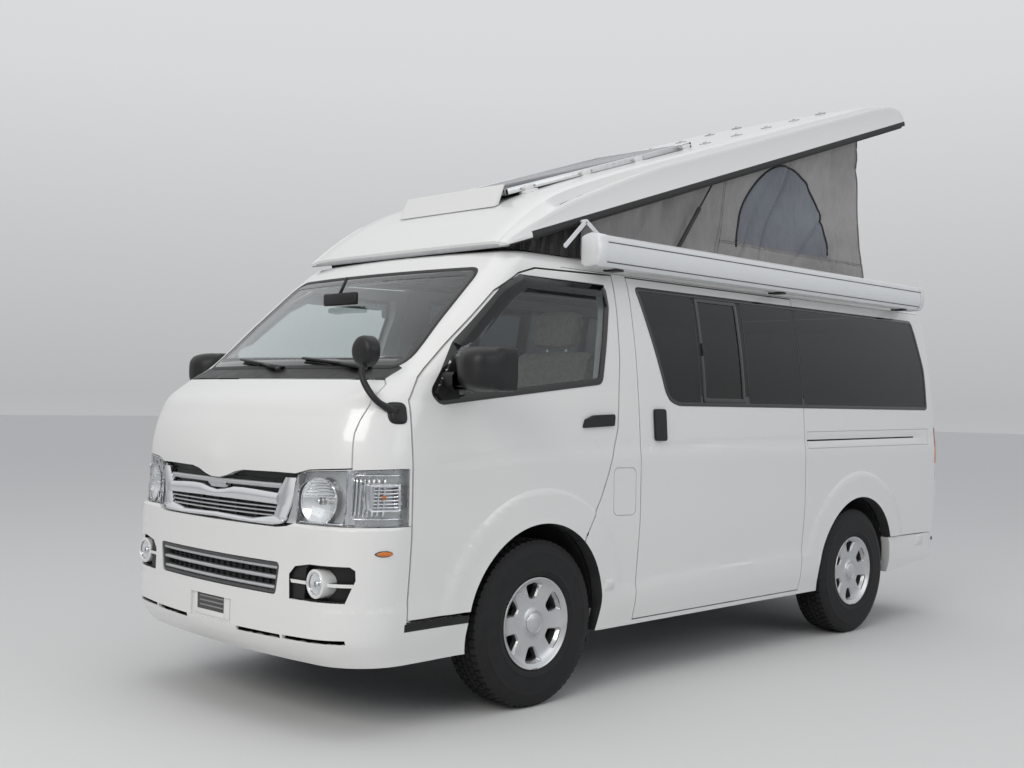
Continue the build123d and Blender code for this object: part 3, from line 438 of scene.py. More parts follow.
def cloth_material(name, colour, weave=900.0, strength=0.5):
    """Returns a woven cloth with a faint crossing weave, soft stains and creases."""
    material, tree, shader = new_material(name)
    fine, broad = add_noise(tree, 60.0, 3.0, (1, 1, 0.25)), add_noise(tree, 2.6, 5.0, (1, 1, 1.6))
    stains = add_node(tree, "ShaderNodeMath", {0: fine, 1: 0.35, 2: broad}, operation="MULTIPLY_ADD")
    dark, light = tuple(c * 0.86 for c in colour), tuple(c * 1.12 for c in colour)
    feed(shader, {
        "Roughness": 0.92, "Sheen Weight": 0.25, "Specular IOR Level": 0.25,
        "Base Color": add_ramp(tree, stains.outputs["Value"], [(0.45, dark), (0.85, light)]),
    })
    warp, weft = add_noise(tree, weave, 1.0, (0.12, 0.12, 1.0)), add_noise(tree, weave, 1.0, (1.0, 1.0, 0.12))
    threads = add_node(tree, "ShaderNodeMath", {0: warp, 1: weft}, operation="ADD")
    creases = add_node(tree, "ShaderNodeBump", {
        "Height": add_noise(tree, 3.4, 3.0, (1.0, 1.0, 0.55), 1.6), "Strength": 0.55, "Distance": 0.045,
    })
    feed(add_bump(shader, threads.outputs["Value"], strength, 0.0006), {"Normal": creases.outputs["Normal"]})
    return material


PAINT = finish_material("white_paint", (0.8, 0.8, 0.785), 0.28, spread=0.006, scale=0.9, coat=0.8,
                        rough_spread=0.008)
GELCOAT = finish_material("lid_gelcoat", (0.81, 0.81, 0.8), 0.36, spread=0.01, scale=1.5, coat=0.4,
                          rough_spread=0.02)
AWNING_PAINT = finish_material("awning_white", (0.8, 0.81, 0.82), 0.34, spread=0.012, scale=3, coat=0.3)
CLEAR_GLASS = glass_material("clear_glass", (0.8, 0.86, 0.86))
DARK_GLASS = glass_material("dark_glass", (0.05, 0.06, 0.07))
LENS = glass_material("lamp_lens", (0.97, 0.98, 0.99))
BULB = glass_material("bulb_glass", (0.96, 0.94, 0.88))
SMOKE = glass_material("smoked_plastic", (0.1, 0.11, 0.12), 0.03)
CHROME = finish_material("chrome", (0.8, 0.81, 0.83), 0.06, 1.0, 0.02, rough_spread=0.02)
REFLECTOR = finish_material("reflector", (0.88, 0.89, 0.9), 0.09, 1.0, 0.02, rough_spread=0.03)
MIRROR = finish_material("mirror_glass", (0.9, 0.92, 0.93), 0.012, 1.0, 0.01, rough_spread=0.008)
SILVER = finish_material("silver_paint", (0.56, 0.57, 0.58), 0.32, 0.85, 0.04, 14, coat=0.3)
ALUMINIUM = finish_material("aluminium", (0.7, 0.71, 0.72), 0.34, 0.9, 0.05, 30)
STEEL = finish_material("steel", (0.45, 0.45, 0.46), 0.35, 1.0, 0.12, 20)
CAST = finish_material("cast_metal", (0.17, 0.17, 0.17), 0.6, 0.6, 0.3, 12, 0.5, 200)
BLACK_PLASTIC = finish_material("black_plastic", (0.013, 0.013, 0.014), 0.42, 0, 0.15, 20, 0.25, 900,
                                specular=0.35)
GLOSS_BLACK = finish_material("gloss_black", (0.012, 0.012, 0.013), 0.12, 0, 0.1, coat=0.5)
RUBBER = finish_material("rubber", (0.016, 0.016, 0.016), 0.62, 0, 0.2, 25, 0.2, 500)
TYRE_RUBBER = finish_material("tyre_rubber", (0.014, 0.014, 0.015), 0.66, 0, 0.25, 18, 0.3, 260, specular=0.3)
UNDERBODY = finish_material("underbody", (0.035, 0.035, 0.036), 0.7, 0, 0.25, 9, 0.4, 180)
SEAT_FABRIC = finish_material("seat_fabric", (0.38, 0.36, 0.33), 0.9, 0, 0.12, 60, 0.6, 1200, sheen=0.3)
TRIM_GREY = finish_material("trim_grey", (0.27, 0.27, 0.265), 0.7, 0, 0.06, 15, 0.3, 700)
SEAL_GREY = finish_material("grey_seal", (0.42, 0.43, 0.44), 0.5, 0, 0.08, 20, 0.2, 300)
DARK_GREY = finish_material("dark_grey", (0.07, 0.07, 0.072), 0.55, 0, 0.12, 25, 0.25, 700)
DASH_GREY = finish_material("dash_plastic", (0.085, 0.085, 0.088), 0.6, 0, 0.08, 20, 0.35, 900)
WOOD = finish_material("cabinet_wood", (0.42, 0.3, 0.19), 0.45, 0, 0.25, 6, 0.1)
RED_LENS = finish_material("red_lens", (0.42, 0.012, 0.014), 0.12, 0, 0.1, coat=0.6)
AMBER_LENS = finish_material("amber_lens", (0.75, 0.2, 0.02), 0.15, 0, 0.1, coat=0.5)
FROSTED = finish_material("frosted_lens", (0.78, 0.78, 0.76), 0.18, 0, 0.04, 30, coat=0.6)
SOLAR_CELLS = solar_cells()
CANVAS = cloth_material("tent_canvas", (0.345, 0.33, 0.325))
CANVAS_PANE = cloth_material("tent_pane", (0.195, 0.21, 0.235), 1200.0, 0.3)
CANVAS_EDGE = cloth_material("tent_edge", (0.21, 0.2, 0.2))
BELLOWS_CLOTH = cloth_material("bellows_cloth", (0.045, 0.042, 0.042))


# Geometry trees for what repeats
def new_tree(name, sizes):
    """Returns a geometry tree with a named input for each size, its given values and its output node."""
    tree = bpy.data.node_groups.new(name, "GeometryNodeTree")
    for label, kind in [("Geometry", "Geometry"), *sizes, ("Material", "Material")]:
        tree.interface.new_socket(label, in_out="INPUT", socket_type="NodeSocket" + kind)
    tree.interface.new_socket("Geometry", in_out="OUTPUT", socket_type="NodeSocketGeometry")
    return tree, add_node(tree, "NodeGroupInput").outputs, add_node(tree, "NodeGroupOutput")


def ended(tree, given, out, copies, weld=False):
    """Links placed copies through Realize Instances and Set Material to the tree's output."""
    made = add_node(tree, "GeometryNodeRealizeInstances", {0: copies.outputs[0]})
    if weld:
        made = add_node(tree, "GeometryNodeMergeByDistance", {0: made.outputs[0], "Distance": 2e-5})
    cover = {"Geometry": made.outputs[0], "Material": given["Material"]}
    feed(out, {0: add_node(tree, "GeometryNodeSetMaterial", cover).outputs[0]})
    return tree


def row_tree():
    """Copies the piece in a straight row."""
    tree, given, out = new_tree("row_of_copies", [("Count", "Int"), ("Step", "Vector")])
    line = add_node(tree, "GeometryNodeMeshLine", {"Count": given["Count"], "Offset": given["Step"]})
    inputs = {"Points": line.outputs[0], "Instance": given["Geometry"]}
    return ended(tree, given, out, add_node(tree, "GeometryNodeInstanceOnPoints", inputs))


def ring_tree():
    """Copies the piece round the X axis and welds the copies where they meet."""
    tree, given, out = new_tree("ring_of_copies", [("Count", "Int")])
    line = add_node(tree, "GeometryNodeMeshLine", {"Count": given["Count"], "Offset": (0, 0, 0)})
    index = add_node(tree, "GeometryNodeInputIndex").outputs[0]
    share = add_node(tree, "ShaderNodeMath", {0: index, 1: given["Count"]}, operation="DIVIDE")
    turn = add_node(tree, "ShaderNodeMath", {0: share.outputs[0], 1: -2 * math.pi}, operation="MULTIPLY")
    angle = add_node(tree, "ShaderNodeCombineXYZ", {"X": turn.outputs[0]})
    inputs = {"Points": line.outputs[0], "Instance": given["Geometry"], "Rotation": angle.outputs[0]}
    return ended(tree, given, out, add_node(tree, "GeometryNodeInstanceOnPoints", inputs), weld=True)


def stitch_tree():
    """Lays short stitches along the piece's edges."""
    tree, given, out = new_tree("stitches_on_a_line", [("Spacing", "Float"), ("Stitch", "Vector")])
    path = add_node(tree, "GeometryNodeMeshToCurve", {0: given["Geometry"]})
    spacing = {"Curve": path.outputs[0], "Length": given["Spacing"]}
    split = add_node(tree, "GeometryNodeResampleCurve", spacing, mode="LENGTH")
    thread = add_node(tree, "GeometryNodeMeshCube", {"Size": given["Stitch"]})
    run = {"Vector": add_node(tree, "GeometryNodeInputTangent").outputs[0]}
    along = add_node(tree, "FunctionNodeAlignRotationToVector", run, axis="X")
    inputs = {"Points": split.outputs[0], "Instance": thread.outputs["Mesh"], "Rotation": along.outputs[0]}
    return ended(tree, given, out, add_node(tree, "GeometryNodeInstanceOnPoints", inputs))


ROW_TREE, RING_TREE, STITCH_TREE = row_tree(), ring_tree(), stitch_tree()


def grown(piece, tree, material, **sizes):
    """Runs a tree on a piece with the given sizes, and keeps the result as a plain mesh."""
    modifier = piece.modifiers.new("copies", "NODES")
    modifier.node_group = tree
    sizes["Material"] = material
    for socket in tree.interface.items_tree:
        if socket.in_out == "INPUT" and socket.name in sizes:
            modifier[socket.identifier] = sizes[socket.name]
    applied(piece)
    if not piece.data.materials:
        piece.data.materials.append(material)
    return piece


# Creases and flares of the body skin, and places on it
FLARE, FLARE_RADIUS = 0.008, 0.548
CREASE_Y = [-1.98, -1.807, -1.471, -1.172, -0.858, -0.531, 0.47, 0.7, 2.1, 2.2]
CREASE_Z = [1.005, 1.023, 1.046, 1.065, 1.068, 1.071, 1.085, 1.087, 1.092, 1.092]
SILL_LINE_Y = [-0.9, -0.817, -0.494, 0.508, 0.933]
SILL_LINE_Z = [0.405, 0.424, 0.47, 0.489, 0.484]
VIEW_AXIS = {"left": (0, 1), "right": (0, -1), "nose": (1, -1), "tail": (1, 1)}
VIEW_START = {"left": 0.84, "right": -0.84, "nose": -2.25, "tail": 2.29}


def soft_step(value, start, width):
    """Returns 0 below start, 1 beyond start + width, and a smooth rise between."""
    t = np.clip((value - start) / width, 0, 1)
    return t * t * (3 - 2 * t)


def relief(points, normal):
    """Returns how far the skin stands out of its plain form at each point."""
    x, y, z = points.T
    flank = normal[:, 0] ** 2
    arches = np.zeros(len(points))
    for centre_y, centre_z in (FRONT_ARCH, REAR_ARCH):
        reach = np.hypot(y - centre_y, z - centre_z)
        level = soft_step(-reach, -FLARE_RADIUS, 0.022) * soft_step(z, 0.33, 0.1)
        lip = soft_step(-reach, -(ARCH_RADIUS + 0.02), 0.01)
        arches = np.maximum(arches, FLARE * level + 0.003 * lip)
    sill_z = np.interp(y, SILL_LINE_Y, SILL_LINE_Z)
    sill = np.where((y > -0.9) & (y < 0.93), FLARE * soft_step(-z, -sill_z, 0.016), 0)
    crease_z = np.interp(y, CREASE_Y, CREASE_Z)
    ends = soft_step(y, -1.98, 0.25) * soft_step(-y, -2.19, 0.15)
    valley = -0.0045 * np.exp(-(((z - crease_z) / 0.013) ** 2)) * ends
    side = flank * (np.maximum(arches, sill) + valley)
    chin = 0.005 * soft_step(-z, -0.49, 0.016) * soft_step(-y, 1.72, 0.25)
    bulge = 0.01 * np.exp(-((x / 0.085) ** 2) - ((z - 1.0) / 0.052) ** 2) * (y < -2.0)
    shoulder = 0.006 * np.exp(-(((z - (1.235 + 0.02 * np.cos(x * 2.2))) / 0.045) ** 2))
    shoulder = shoulder * (y < -2.0) * (1 - flank) * soft_step(-np.abs(x), -0.66, 0.12)
    return side + chin * (1 - arches / FLARE * flank).clip(0, 1) + bulge + shoulder


def skin_map(view, outline, out=0.0):
    """Returns the points of the dressed skin that an outline covers, seen from one side of the van.

    The outline is (y, z) for left and right, and (x, z) for nose and tail.
    """
    outline = np.asarray(outline, float)
    axis = VIEW_AXIS[view][0]
    points = np.zeros((len(outline), 3))
    points[:, 1 - axis], points[:, axis], points[:, 2] = outline[:, 0], VIEW_START[view], outline[:, 1]
    for _ in range(12):
        distance, normal = skin_offset(points)
        share = normal[:, axis]
        share = np.where(np.abs(share) < 0.2, np.where(share < 0, -0.2, 0.2), share)
        points[:, axis] -= (distance - out - relief(points, normal)) / share
    return points


def skin_line(view, start, end, steps, out):
    """Returns the points of a straight line laid on the skin."""
    return skin_map(view, evenly(start, end, steps), out)


def skin_frame(view, a, b, out=0.0):
    """Returns a point on the skin and the outward normal there."""
    centre, right, over = (Vector(p) for p in skin_map(view, [(a, b), (a + 0.004, b), (a, b + 0.004)], out))
    normal = (right - centre).cross(over - centre).normalized()
    axis, sign = VIEW_AXIS[view]
    return centre, normal if normal[axis] * sign > 0 else -normal


def box_outline(low_u, high_u, low_z, high_z):
    """Returns the corners of an upright rectangle."""
    return [(low_u, low_z), (high_u, low_z), (high_u, high_z), (low_u, high_z)]


def rounded(points, radius, step=0.04, arc=5):
    """Returns a closed outline with rounded corners and with no long spans."""
    count = len(points)
    corners = []
    for i in range(count):
        before, here, after = (Vector(points[(i + k) % count]) for k in (-1, 0, 1))
        a, b = (before - here), (after - here)
        size = min(radius, 0.45 * a.length, 0.45 * b.length)
        start, end = here + a.normalized() * size, here + b.normalized() * size
        for t in [k / arc for k in range(arc + 1)]:
            corners.append(start * (1 - t) ** 2 + here * 2 * t * (1 - t) + end * t**2)
    outline = []
    for a, b in zip(corners, corners[1:] + corners[:1]):
        parts = max(1, int((b - a).length / step))
        outline += [tuple(a.lerp(b, k / parts)) for k in range(parts)]
    return outline


def inset(outline, amount):
    """Returns a dense closed outline moved inwards."""
    count = len(outline)
    area = sum(a[0] * b[1] - b[0] * a[1] for a, b in zip(outline, outline[1:] + outline[:1]))
    amount = amount if area > 0 else -amount
    moved = []
    for i, (u, v) in enumerate(outline):
        run = (Vector(outline[(i + 1) % count]) - Vector(outline[i - 1])).normalized()
        moved.append((u - run.y * amount, v + run.x * amount))
    return moved


def band(name, view, outline, width, lift=0.0015, depth=0.004):
    """Returns a flat band that lies on the skin along the inside of a dense outline."""
    mid, inner = inset(outline, width * 0.5), inset(outline, width)
    rings = ((outline, -depth), (outline, lift * 0.6), (mid, lift), (inner, lift * 0.6), (inner, -depth))
    return lofted(name, [skin_map(view, line, out) for line, out in rings], 40, loop=True)


def plate_on_skin(name, view, outline, low, high, rim=0.0015):
    """Returns a solid pad on the skin from low to high, with a small rolled edge."""
    rings = ((outline, low), (outline, high - rim), (inset(outline, rim), high))
    return lofted(name, [skin_map(view, line, out) for line, out in rings])


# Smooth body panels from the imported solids
def diced(source, steps=(0.08, 0.04, 0.04), cuts=()):
    """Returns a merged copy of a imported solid, cut into small faces by planes along x, y and z."""
    bm = bmesh.new()
    bm.from_mesh(source.data)
    bmesh.ops.remove_doubles(bm, verts=bm.verts, dist=2e-5)
    bmesh.ops.dissolve_limit(bm, angle_limit=math.radians(0.5), verts=bm.verts, edges=bm.edges)
    bmesh.ops.triangulate(bm, faces=[f for f in bm.faces if len(f.verts) > 4])
    co = np.array([v.co for v in bm.verts])
    low, high = co.min(0), co.max(0)
    planes = [(axis, place) for axis, place in cuts if low[axis] < place < high[axis]]
    for axis, step in enumerate(steps):
        first, last = math.ceil(low[axis] / step + 0.01), math.floor(high[axis] / step - 0.01)
        planes += [(axis, i * step) for i in range(first, last + 1)]
    for axis, place in planes:
        origin, normal = [0, 0, 0], [0, 0, 0]
        origin[axis], normal[axis] = place, 1
        geometry = bm.verts[:] + bm.edges[:] + bm.faces[:]
        bmesh.ops.bisect_plane(bm, geom=geometry, dist=1e-6, plane_co=origin, plane_no=normal)
    return bm


def skin_panel(node, name, body, materials, steps, zone, cuts=()):
    """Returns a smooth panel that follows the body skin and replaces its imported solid."""
    bm = diced(frame["nodes"][node], steps, cuts)
    points = np.array([v.co for v in bm.verts])
    x, y, z = np.abs(points[:, 0]), points[:, 1], points[:, 2].copy()
    straight, _ = skin_offset(points, smooth=False)
    curved, normal = skin_offset(points, smooth=True)
    flared = (z < 0.93) & (straight > 0) & (straight < FLARE + 0.0016) & (np.abs(normal[:, 0]) > 0.6)
    on_skin = ((np.abs(straight) < 0.0016) | flared) & (z < SMOOTH_TOP_Z + 0.05)
    weight = np.where(on_skin, np.clip((SMOOTH_TOP_Z + 0.04 - z) / 0.04, 0, 1), 0)
    out = relief(points, normal)
    deep = (~on_skin) & (straight > -0.03) & (straight < 0.02) & (z < SMOOTH_TOP_Z)
    plate_seat = (x < 0.1505) & (z > 0.3655) & (z < 0.4645) & (y < -2.2)
    deep &= ~(plate_seat & (straight < -0.001))
    move = np.where(on_skin, (out - curved) * weight, np.where(deep, (straight - curved) + out, 0))
    points[:, :2] += normal * move[:, None]
    for vert, point in zip(bm.verts[:], points):
        vert.co = point
    bmesh.ops.remove_doubles(bm, verts=bm.verts, dist=1e-5)
    bmesh.ops.dissolve_degenerate(bm, dist=1e-5, edges=bm.edges)
    bm.normal_update()
    centres = np.array([f.calc_center_median() for f in bm.faces])
    normals = np.array([f.normal for f in bm.faces])
    offsets, skin_normals = skin_offset(centres)
    facing = np.sum(normals[:, :2] * skin_normals, axis=1)
    for face, index in zip(bm.faces, zone(centres, normals, offsets, facing)):
        face.material_index = int(index)
    piece = from_bmesh(name, bm, 28)
    for material in materials:
        piece.data.materials.append(material)
    return finished(piece, None, body, node)


# Each zone function returns the number of the material at each face, from its centre, its normal,
# its place outside the skin and how far it faces outwards
def inner_trim(c, n, off, facing):
    """Returns 3 in a wheel arch, 1 in the rail slot, 2 under the roof's edge and 0 elsewhere."""
    x, y, z = c.T
    arch = np.zeros(len(c), bool)
    for centre_y, centre_z in (FRONT_ARCH, REAR_ARCH):
        run, rise = y - centre_y, z - centre_z
        away = np.hypot(run, rise)
        to_wheel = -(n[:, 1] * run + n[:, 2] * rise) > 0.5 * away
        arch |= (away < 0.47) & ((to_wheel & (off < 0.007)) | (off < -0.012))
    slot = (np.abs(z - 1.087) < 0.0105) & (np.abs(y - 1.332) < 0.6)
    slot = slot & (off < -0.0045) & (off > -0.022) & (x > 0)
    return np.where(arch, 3, np.where(slot, 1, np.where((z > 1.8) & (n[:, 2] < -0.5), 2, 0)))


def door_zone(c, n, off, facing):
    x, y, z = c.T
    mirror = (z > 1.255) & (off > 0.004) & (y < -1.6)
    behind_edge = y > -1.912 + 0.7 * (z - 1.29)
    sail = behind_edge & (y < -1.7) & (np.abs(z - 1.366) < 0.104) & (off < -0.0012) & (off > -0.03)
    handle = (np.abs(y + 0.96) < 0.115) & (np.abs(z - 1.182) < 0.036) & (off > 0.002)
    return np.where(mirror | handle | sail, 1, inner_trim(c, n, off, facing))


def sliding_zone(c, n, off, facing):
    handle = (np.abs(c[:, 1] + 0.53) < 0.045) & (np.abs(c[:, 2] - 1.166) < 0.078) & (off > 0.002)
    return np.where(handle, 1, inner_trim(c, n, off, facing))


def front_zone(c, n, off, facing):
    cowl = (c[:, 2] > 1.3375) & (c[:, 2] < 1.3905) & (np.abs(c[:, 0]) < 0.7) & (off > -0.045)
    return np.where(cowl, 1, inner_trim(c, n, off, facing))


def bumper_zone(c, n, off, facing):
    x, y, z = np.abs(c[:, 0]), c[:, 1], c[:, 2]
    pocket = (off < -0.0055) & (x > 0.48) & (x < 0.79) & (z > 0.5) & (z < 0.65)
    pod = np.hypot(x - 0.632, z - 0.576) < 0.0545
    slots = (off < -0.006) & (x > 0.17) & (x < 0.76) & (z < 0.385) & (z > 0.345)
    strip = (z > 0.393) & (y > -1.99) & (z < 0.43) & (off > -0.02)
    inner = (off < -0.012) & (facing < -0.3)
    return np.where((pocket & ~pod) | slots | strip, 1, np.where(inner, 3, 0))


def roof_zone(c, n, off, facing):
    x, y, z = np.abs(c[:, 0]), c[:, 1], c[:, 2]
    ears = (np.abs(y + 0.25) < 0.02) & (z > 1.892) & (np.abs(x - 0.66) < 0.03)
    inner = (n[:, 2] < -0.5) | ((off < -0.01) & (facing < -0.35) & (z < 1.87))
    return np.where(ears, 1, np.where(inner, 2, 0))


SHELL = [PAINT, BLACK_PLASTIC, TRIM_GREY, UNDERBODY]
FINE, PLAIN = (0.05, 0.025, 0.025), (0.08, 0.04, 0.03)
for node, body, zone, steps, cuts in (
    ("body_side_left", ROOT, inner_trim, PLAIN, []), ("body_side_right", ROOT, inner_trim, PLAIN, []),
    ("roof_panel", ROOT, roof_zone, PLAIN, []),
    ("front_panel", ROOT, front_zone, PLAIN, [(0, -0.7), (0, 0.7)]),
    ("sliding_door", ROOT, sliding_zone, PLAIN, []),
    ("front_bumper", ROOT, bumper_zone, FINE, [(1, -1.99), (2, 0.393)]),
    ("door_left", "door_left", door_zone, PLAIN, []), ("door_right", "door_right", door_zone, PLAIN, []),
    ("tailgate", "tailgate", inner_trim, PLAIN, []), ("bonnet", "bonnet", inner_trim, FINE, []),
):
    skin_panel(node, node + "_skin", body, SHELL, steps, zone, cuts)


# Window panes, frames, posts, visors and seals
WINDSCREEN = [(-0.69, 1.39), (0.69, 1.39), (0.632, 1.812), (-0.632, 1.812)]
DOOR_WINDOW = [
    (-1.905, 1.29), (-1.868, 1.256), (-0.929, 1.356), (-0.842, 1.69), (-0.846, 1.776), (-1.37, 1.778),
    (-1.48, 1.722), (-1.762, 1.484),
]
SIDE_WINDOW = [
    (-0.622, 1.796), (-0.468, 1.318), (-0.44, 1.278), (-0.38, 1.258), (2.118, 1.258), (2.118, 1.5),
    (2.046, 1.796),
]
REAR_WINDOW = [(-0.64, 1.23), (0.64, 1.23), (0.6, 1.78), (-0.6, 1.78)]
SIDE_POSTS = (-0.192, 0.192, 0.714)
BEYOND = 9.0


def crossing(outline, z):
    """Returns the span of a convex outline at one height."""
    found = []
    for (u0, z0), (u1, z1) in zip(outline, outline[1:] + outline[:1]):
        if min(z0, z1) <= z <= max(z0, z1) and z0 != z1:
            found.append(u0 + (u1 - u0) * (z - z0) / (z1 - z0))
    return min(found), max(found)


def pane(name, view, outline, between=(-BEYOND, BEYOND), out=-0.0006, thick=0.005, step=0.045):
    """Returns a smooth pane of glass in the skin, with the same bend on both faces."""
    low, high = min(z for _, z in outline), max(z for _, z in outline)
    rows = max(4, int((high - low) / step))
    spans = []
    for z in np.linspace(low + 2e-4, high - 2e-4, rows + 1):
        u0, u1 = crossing(outline, z)
        u0, u1 = max(u0, between[0]), min(u1, between[1])
        spans.append((min(u0, u1 - 1e-3), u1, z))
    columns = max(2, int(max(u1 - u0 for u0, u1, _ in spans) / step))
    grid = [(u0 + (u1 - u0) * k / columns, z) for u0, u1, z in spans for k in range(columns + 1)]
    width, count = columns + 1, len(grid)
    vertices = [tuple(p) for depth in (0.0, thick) for p in skin_map(view, grid, out - depth)]
    faces = skin_faces(rows + 1, width, False) + skin_faces(rows + 1, width, False, first=count)
    border = list(range(width)) + [j * width + columns for j in range(1, rows + 1)]
    border += [rows * width + i for i in range(columns - 1, -1, -1)]
    border += [j * width for j in range(rows - 1, 0, -1)]
    faces += [(b, a, a + count, b + count) for a, b in zip(border, border[1:] + border[:1])]
    return smooth_by_angle(outward(mesh_object(name, vertices, faces)), 45)


finished(pane("windscreen_pane", "nose", WINDSCREEN), CLEAR_GLASS, ROOT, "windscreen")
finished(pane("rear_window_pane", "tail", REAR_WINDOW), DARK_GLASS, "tailgate", "tailgate_glass")
side_panes = []
for _, view, door in SIDES:
    door_pane = pane(door + "_pane", view, DOOR_WINDOW)
    finished(door_pane, CLEAR_GLASS, door, "door_glass_" + view)
    for span in zip((-BEYOND, *SIDE_POSTS), (*SIDE_POSTS, BEYOND)):
        side_panes.append(pane("pane", view, SIDE_WINDOW, span))
finished(joined("side_window_panes", side_panes), DARK_GLASS, ROOT, "side_windows")
screen_edge, rear_edge = rounded(WINDSCREEN, 0.055), rounded(REAR_WINDOW, 0.045)
finished(band("windscreen_frit", "nose", screen_edge, 0.03, 0.0012), GLOSS_BLACK)
finished(band("windscreen_seal", "nose", inset(screen_edge, -0.01), 0.014, 0.003), RUBBER)
finished(band("rear_window_seal", "tail", inset(rear_edge, -0.008), 0.03, 0.0025), RUBBER, "tailgate")

VISOR_ROUTE = [(-0.85, 1.69), (-0.846, 1.79), (-1.374, 1.792), (-1.488, 1.732), (-1.775, 1.488)]
# share of the visor's width, and its place off the skin
VISOR_SECTION = (
    (0, 0.002), (0.12, 0.012), (0.5, 0.02), (1, 0.022), (1, 0.0195), (0.5, 0.0175), (0.14, 0.01), (0.04, 0.002),
)


def visor(name, view):
    """Returns the smoked wind deflector along the top and front edges of a door window."""
    outer = []
    for a, b in zip(VISOR_ROUTE, VISOR_ROUTE[1:]):
        parts = max(2, int(math.dist(a, b) / 0.035))
        outer += [Vector(a).lerp(Vector(b), k / parts) for k in range(parts)]
    outer.append(Vector(VISOR_ROUTE[-1]))
    inner = []
    for i, here in enumerate(outer):
        run = (outer[min(i + 1, len(outer) - 1)] - outer[max(i - 1, 0)]).normalized()
        width = 0.06 * min(1.0, (i + 1) / 4, (len(outer) - i) / 5 + 0.2)
        inner.append(here + Vector((-run.y, run.x)) * width)
    rows = []
    for share, out in VISOR_SECTION:
        rows.append(skin_map(view, [tuple(a.lerp(b, share)) for a, b in zip(outer, inner)], out))
    return lofted(name, zip(*rows), 50)


for _, view, door in SIDES:
    frame_outline = inset(rounded(DOOR_WINDOW, 0.02), -0.014)
    finished(band(door + "_window_frame", view, frame_outline, 0.03, 0.0035), GLOSS_BLACK, door)
    finished(visor(door + "_visor", view), SMOKE, door)
    seal_outline = inset(rounded(SIDE_WINDOW, 0.03), -0.004)
    finished(band(view + "_window_seal", view, seal_outline, 0.018, 0.0022), GLOSS_BLACK)
    sash = rounded(box_outline(-0.18, 0.17, 1.272, 1.784), 0.02)
    finished(band(view + "_sash", view, sash, 0.022, 0.0045), GLOSS_BLACK)
    posts = []
    for y0, y1 in ((-0.202, -0.182), (0.172, 0.212), (0.704, 0.724)):
        post = rounded(box_outline(y0, y1, 1.262, 1.792), 0.001)
        posts.append(plate_on_skin("post", view, post, -0.03, 0.0015))
    finished(joined(view + "_window_posts", posts), GLOSS_BLACK)
    latch = rounded(box_outline(-0.172, -0.158, 1.5, 1.56), 0.004)
    finished(plate_on_skin(view + "_sash_latch", view, latch, 0.002, 0.012), BLACK_PLASTIC)

# Glass of the mirrors
glass_outline = rounded(box_outline(0.884, 1.046, 1.314, 1.452), 0.03)
for sign, side, door in SIDES:
    rings = []
    for line, out in ((glass_outline, -0.004), (glass_outline, 0.0006), (inset(glass_outline, 0.004), 0.0016)):
        rings.append([(sign * x, -1.69 - 0.01 * (x - 0.868) / 0.194 + out, z) for x, z in line])
    finished(lofted("mirror_glass_" + side, rings, 40), MIRROR, door)
finished(disc("fender_mirror_glass", (0.7, -2.1105, 1.44), (0, 1, 0), 0.046, 0.004), MIRROR)


# Wipers
def wiper(name, x_pivot, x_tip):
    """Returns one wiper: a tapered arm, a blade and its rubber lip, just off the windscreen."""
    def glass(x, z, out):
        return Vector(skin_map("nose", [(x, z)], out)[0])
    start, end = glass(x_pivot, 1.386, 0.02), glass(x_tip, 1.424, 0.02)
    pivot = glass(x_pivot - 0.02, 1.378, 0.004)
    arm = [pivot, glass(x_pivot - 0.06, 1.388, 0.03), start.lerp(end, 0.55)]
    ends = (x_pivot, 1.386), (x_tip, 1.424)
    return joined(name, [
        tube("arm", arm, [0.011, 0.008, 0.0045], 10),
        tube("blade", skin_line("nose", *ends, 8, 0.019), 0.0058, 8),
        tube("lip", skin_line("nose", *ends, 8, 0.008), 0.0045, 6),
        disc("cap", pivot + Vector((0, -0.012, 0.008)), (0, -0.6, 0.8), 0.013, 0.02),
    ])


wipers = joined("wiper_set", [wiper("wiper_a", 0.56, 0.13), wiper("wiper_b", 0.06, -0.37)])
finished(wipers, BLACK_PLASTIC, ROOT, "wipers")


# Pop-top lid
LID_HINGE = Vector((0, -1.4, 1.914))
LID_ANGLE = math.radians(17.7)
LID_BOTTOM, LID_LENGTH, LID_WALL = 1.915, 3.6, 0.028
# distance from the front edge, half width, side wall height, shoulder half width, crown height
LID_SECTIONS = np.array([
    (0.000, 0.692, 0.012, 0.640, 0.022),
    (0.095, 0.703, 0.044, 0.640, 0.064),
    (0.216, 0.705, 0.068, 0.632, 0.104),
    (0.355, 0.705, 0.094, 0.626, 0.140),
    (0.495, 0.705, 0.110, 0.622, 0.158),
    (0.789, 0.705, 0.134, 0.620, 0.168),
    (1.101, 0.705, 0.150, 0.620, 0.170),
    (3.309, 0.705, 0.147, 0.620, 0.168),
    (3.524, 0.703, 0.131, 0.612, 0.150),
    (3.600, 0.698, 0.064, 0.600, 0.078),
])


def lid_column(s, k):
    """Returns one column of the lid's table at s."""
    return np.interp(s, LID_SECTIONS[:, 0], LID_SECTIONS[:, k])


def lid_values(runs):
    """Returns half width, wall height, shoulder half width and crown height along the lid, smoothed."""
    rows = []
    for s in runs:
        reach = min(0.09, s, LID_LENGTH - s) if 0.01 <= s <= LID_LENGTH - 0.01 else 0
        near = np.clip(s + np.linspace(-reach, reach, 7), 0, LID_LENGTH)
        rows.append([np.mean(lid_column(near, k)) for k in range(1, 5)])
    return rows


def lid_place(x, s, h):
    """Returns a point of the raised lid from its place across, along and above the closed lid."""
    closed = Vector((x, LID_HINGE.y + s, LID_BOTTOM + h)) - LID_HINGE
    return Matrix.Rotation(LID_ANGLE, 3, "X") @ closed + LID_HINGE


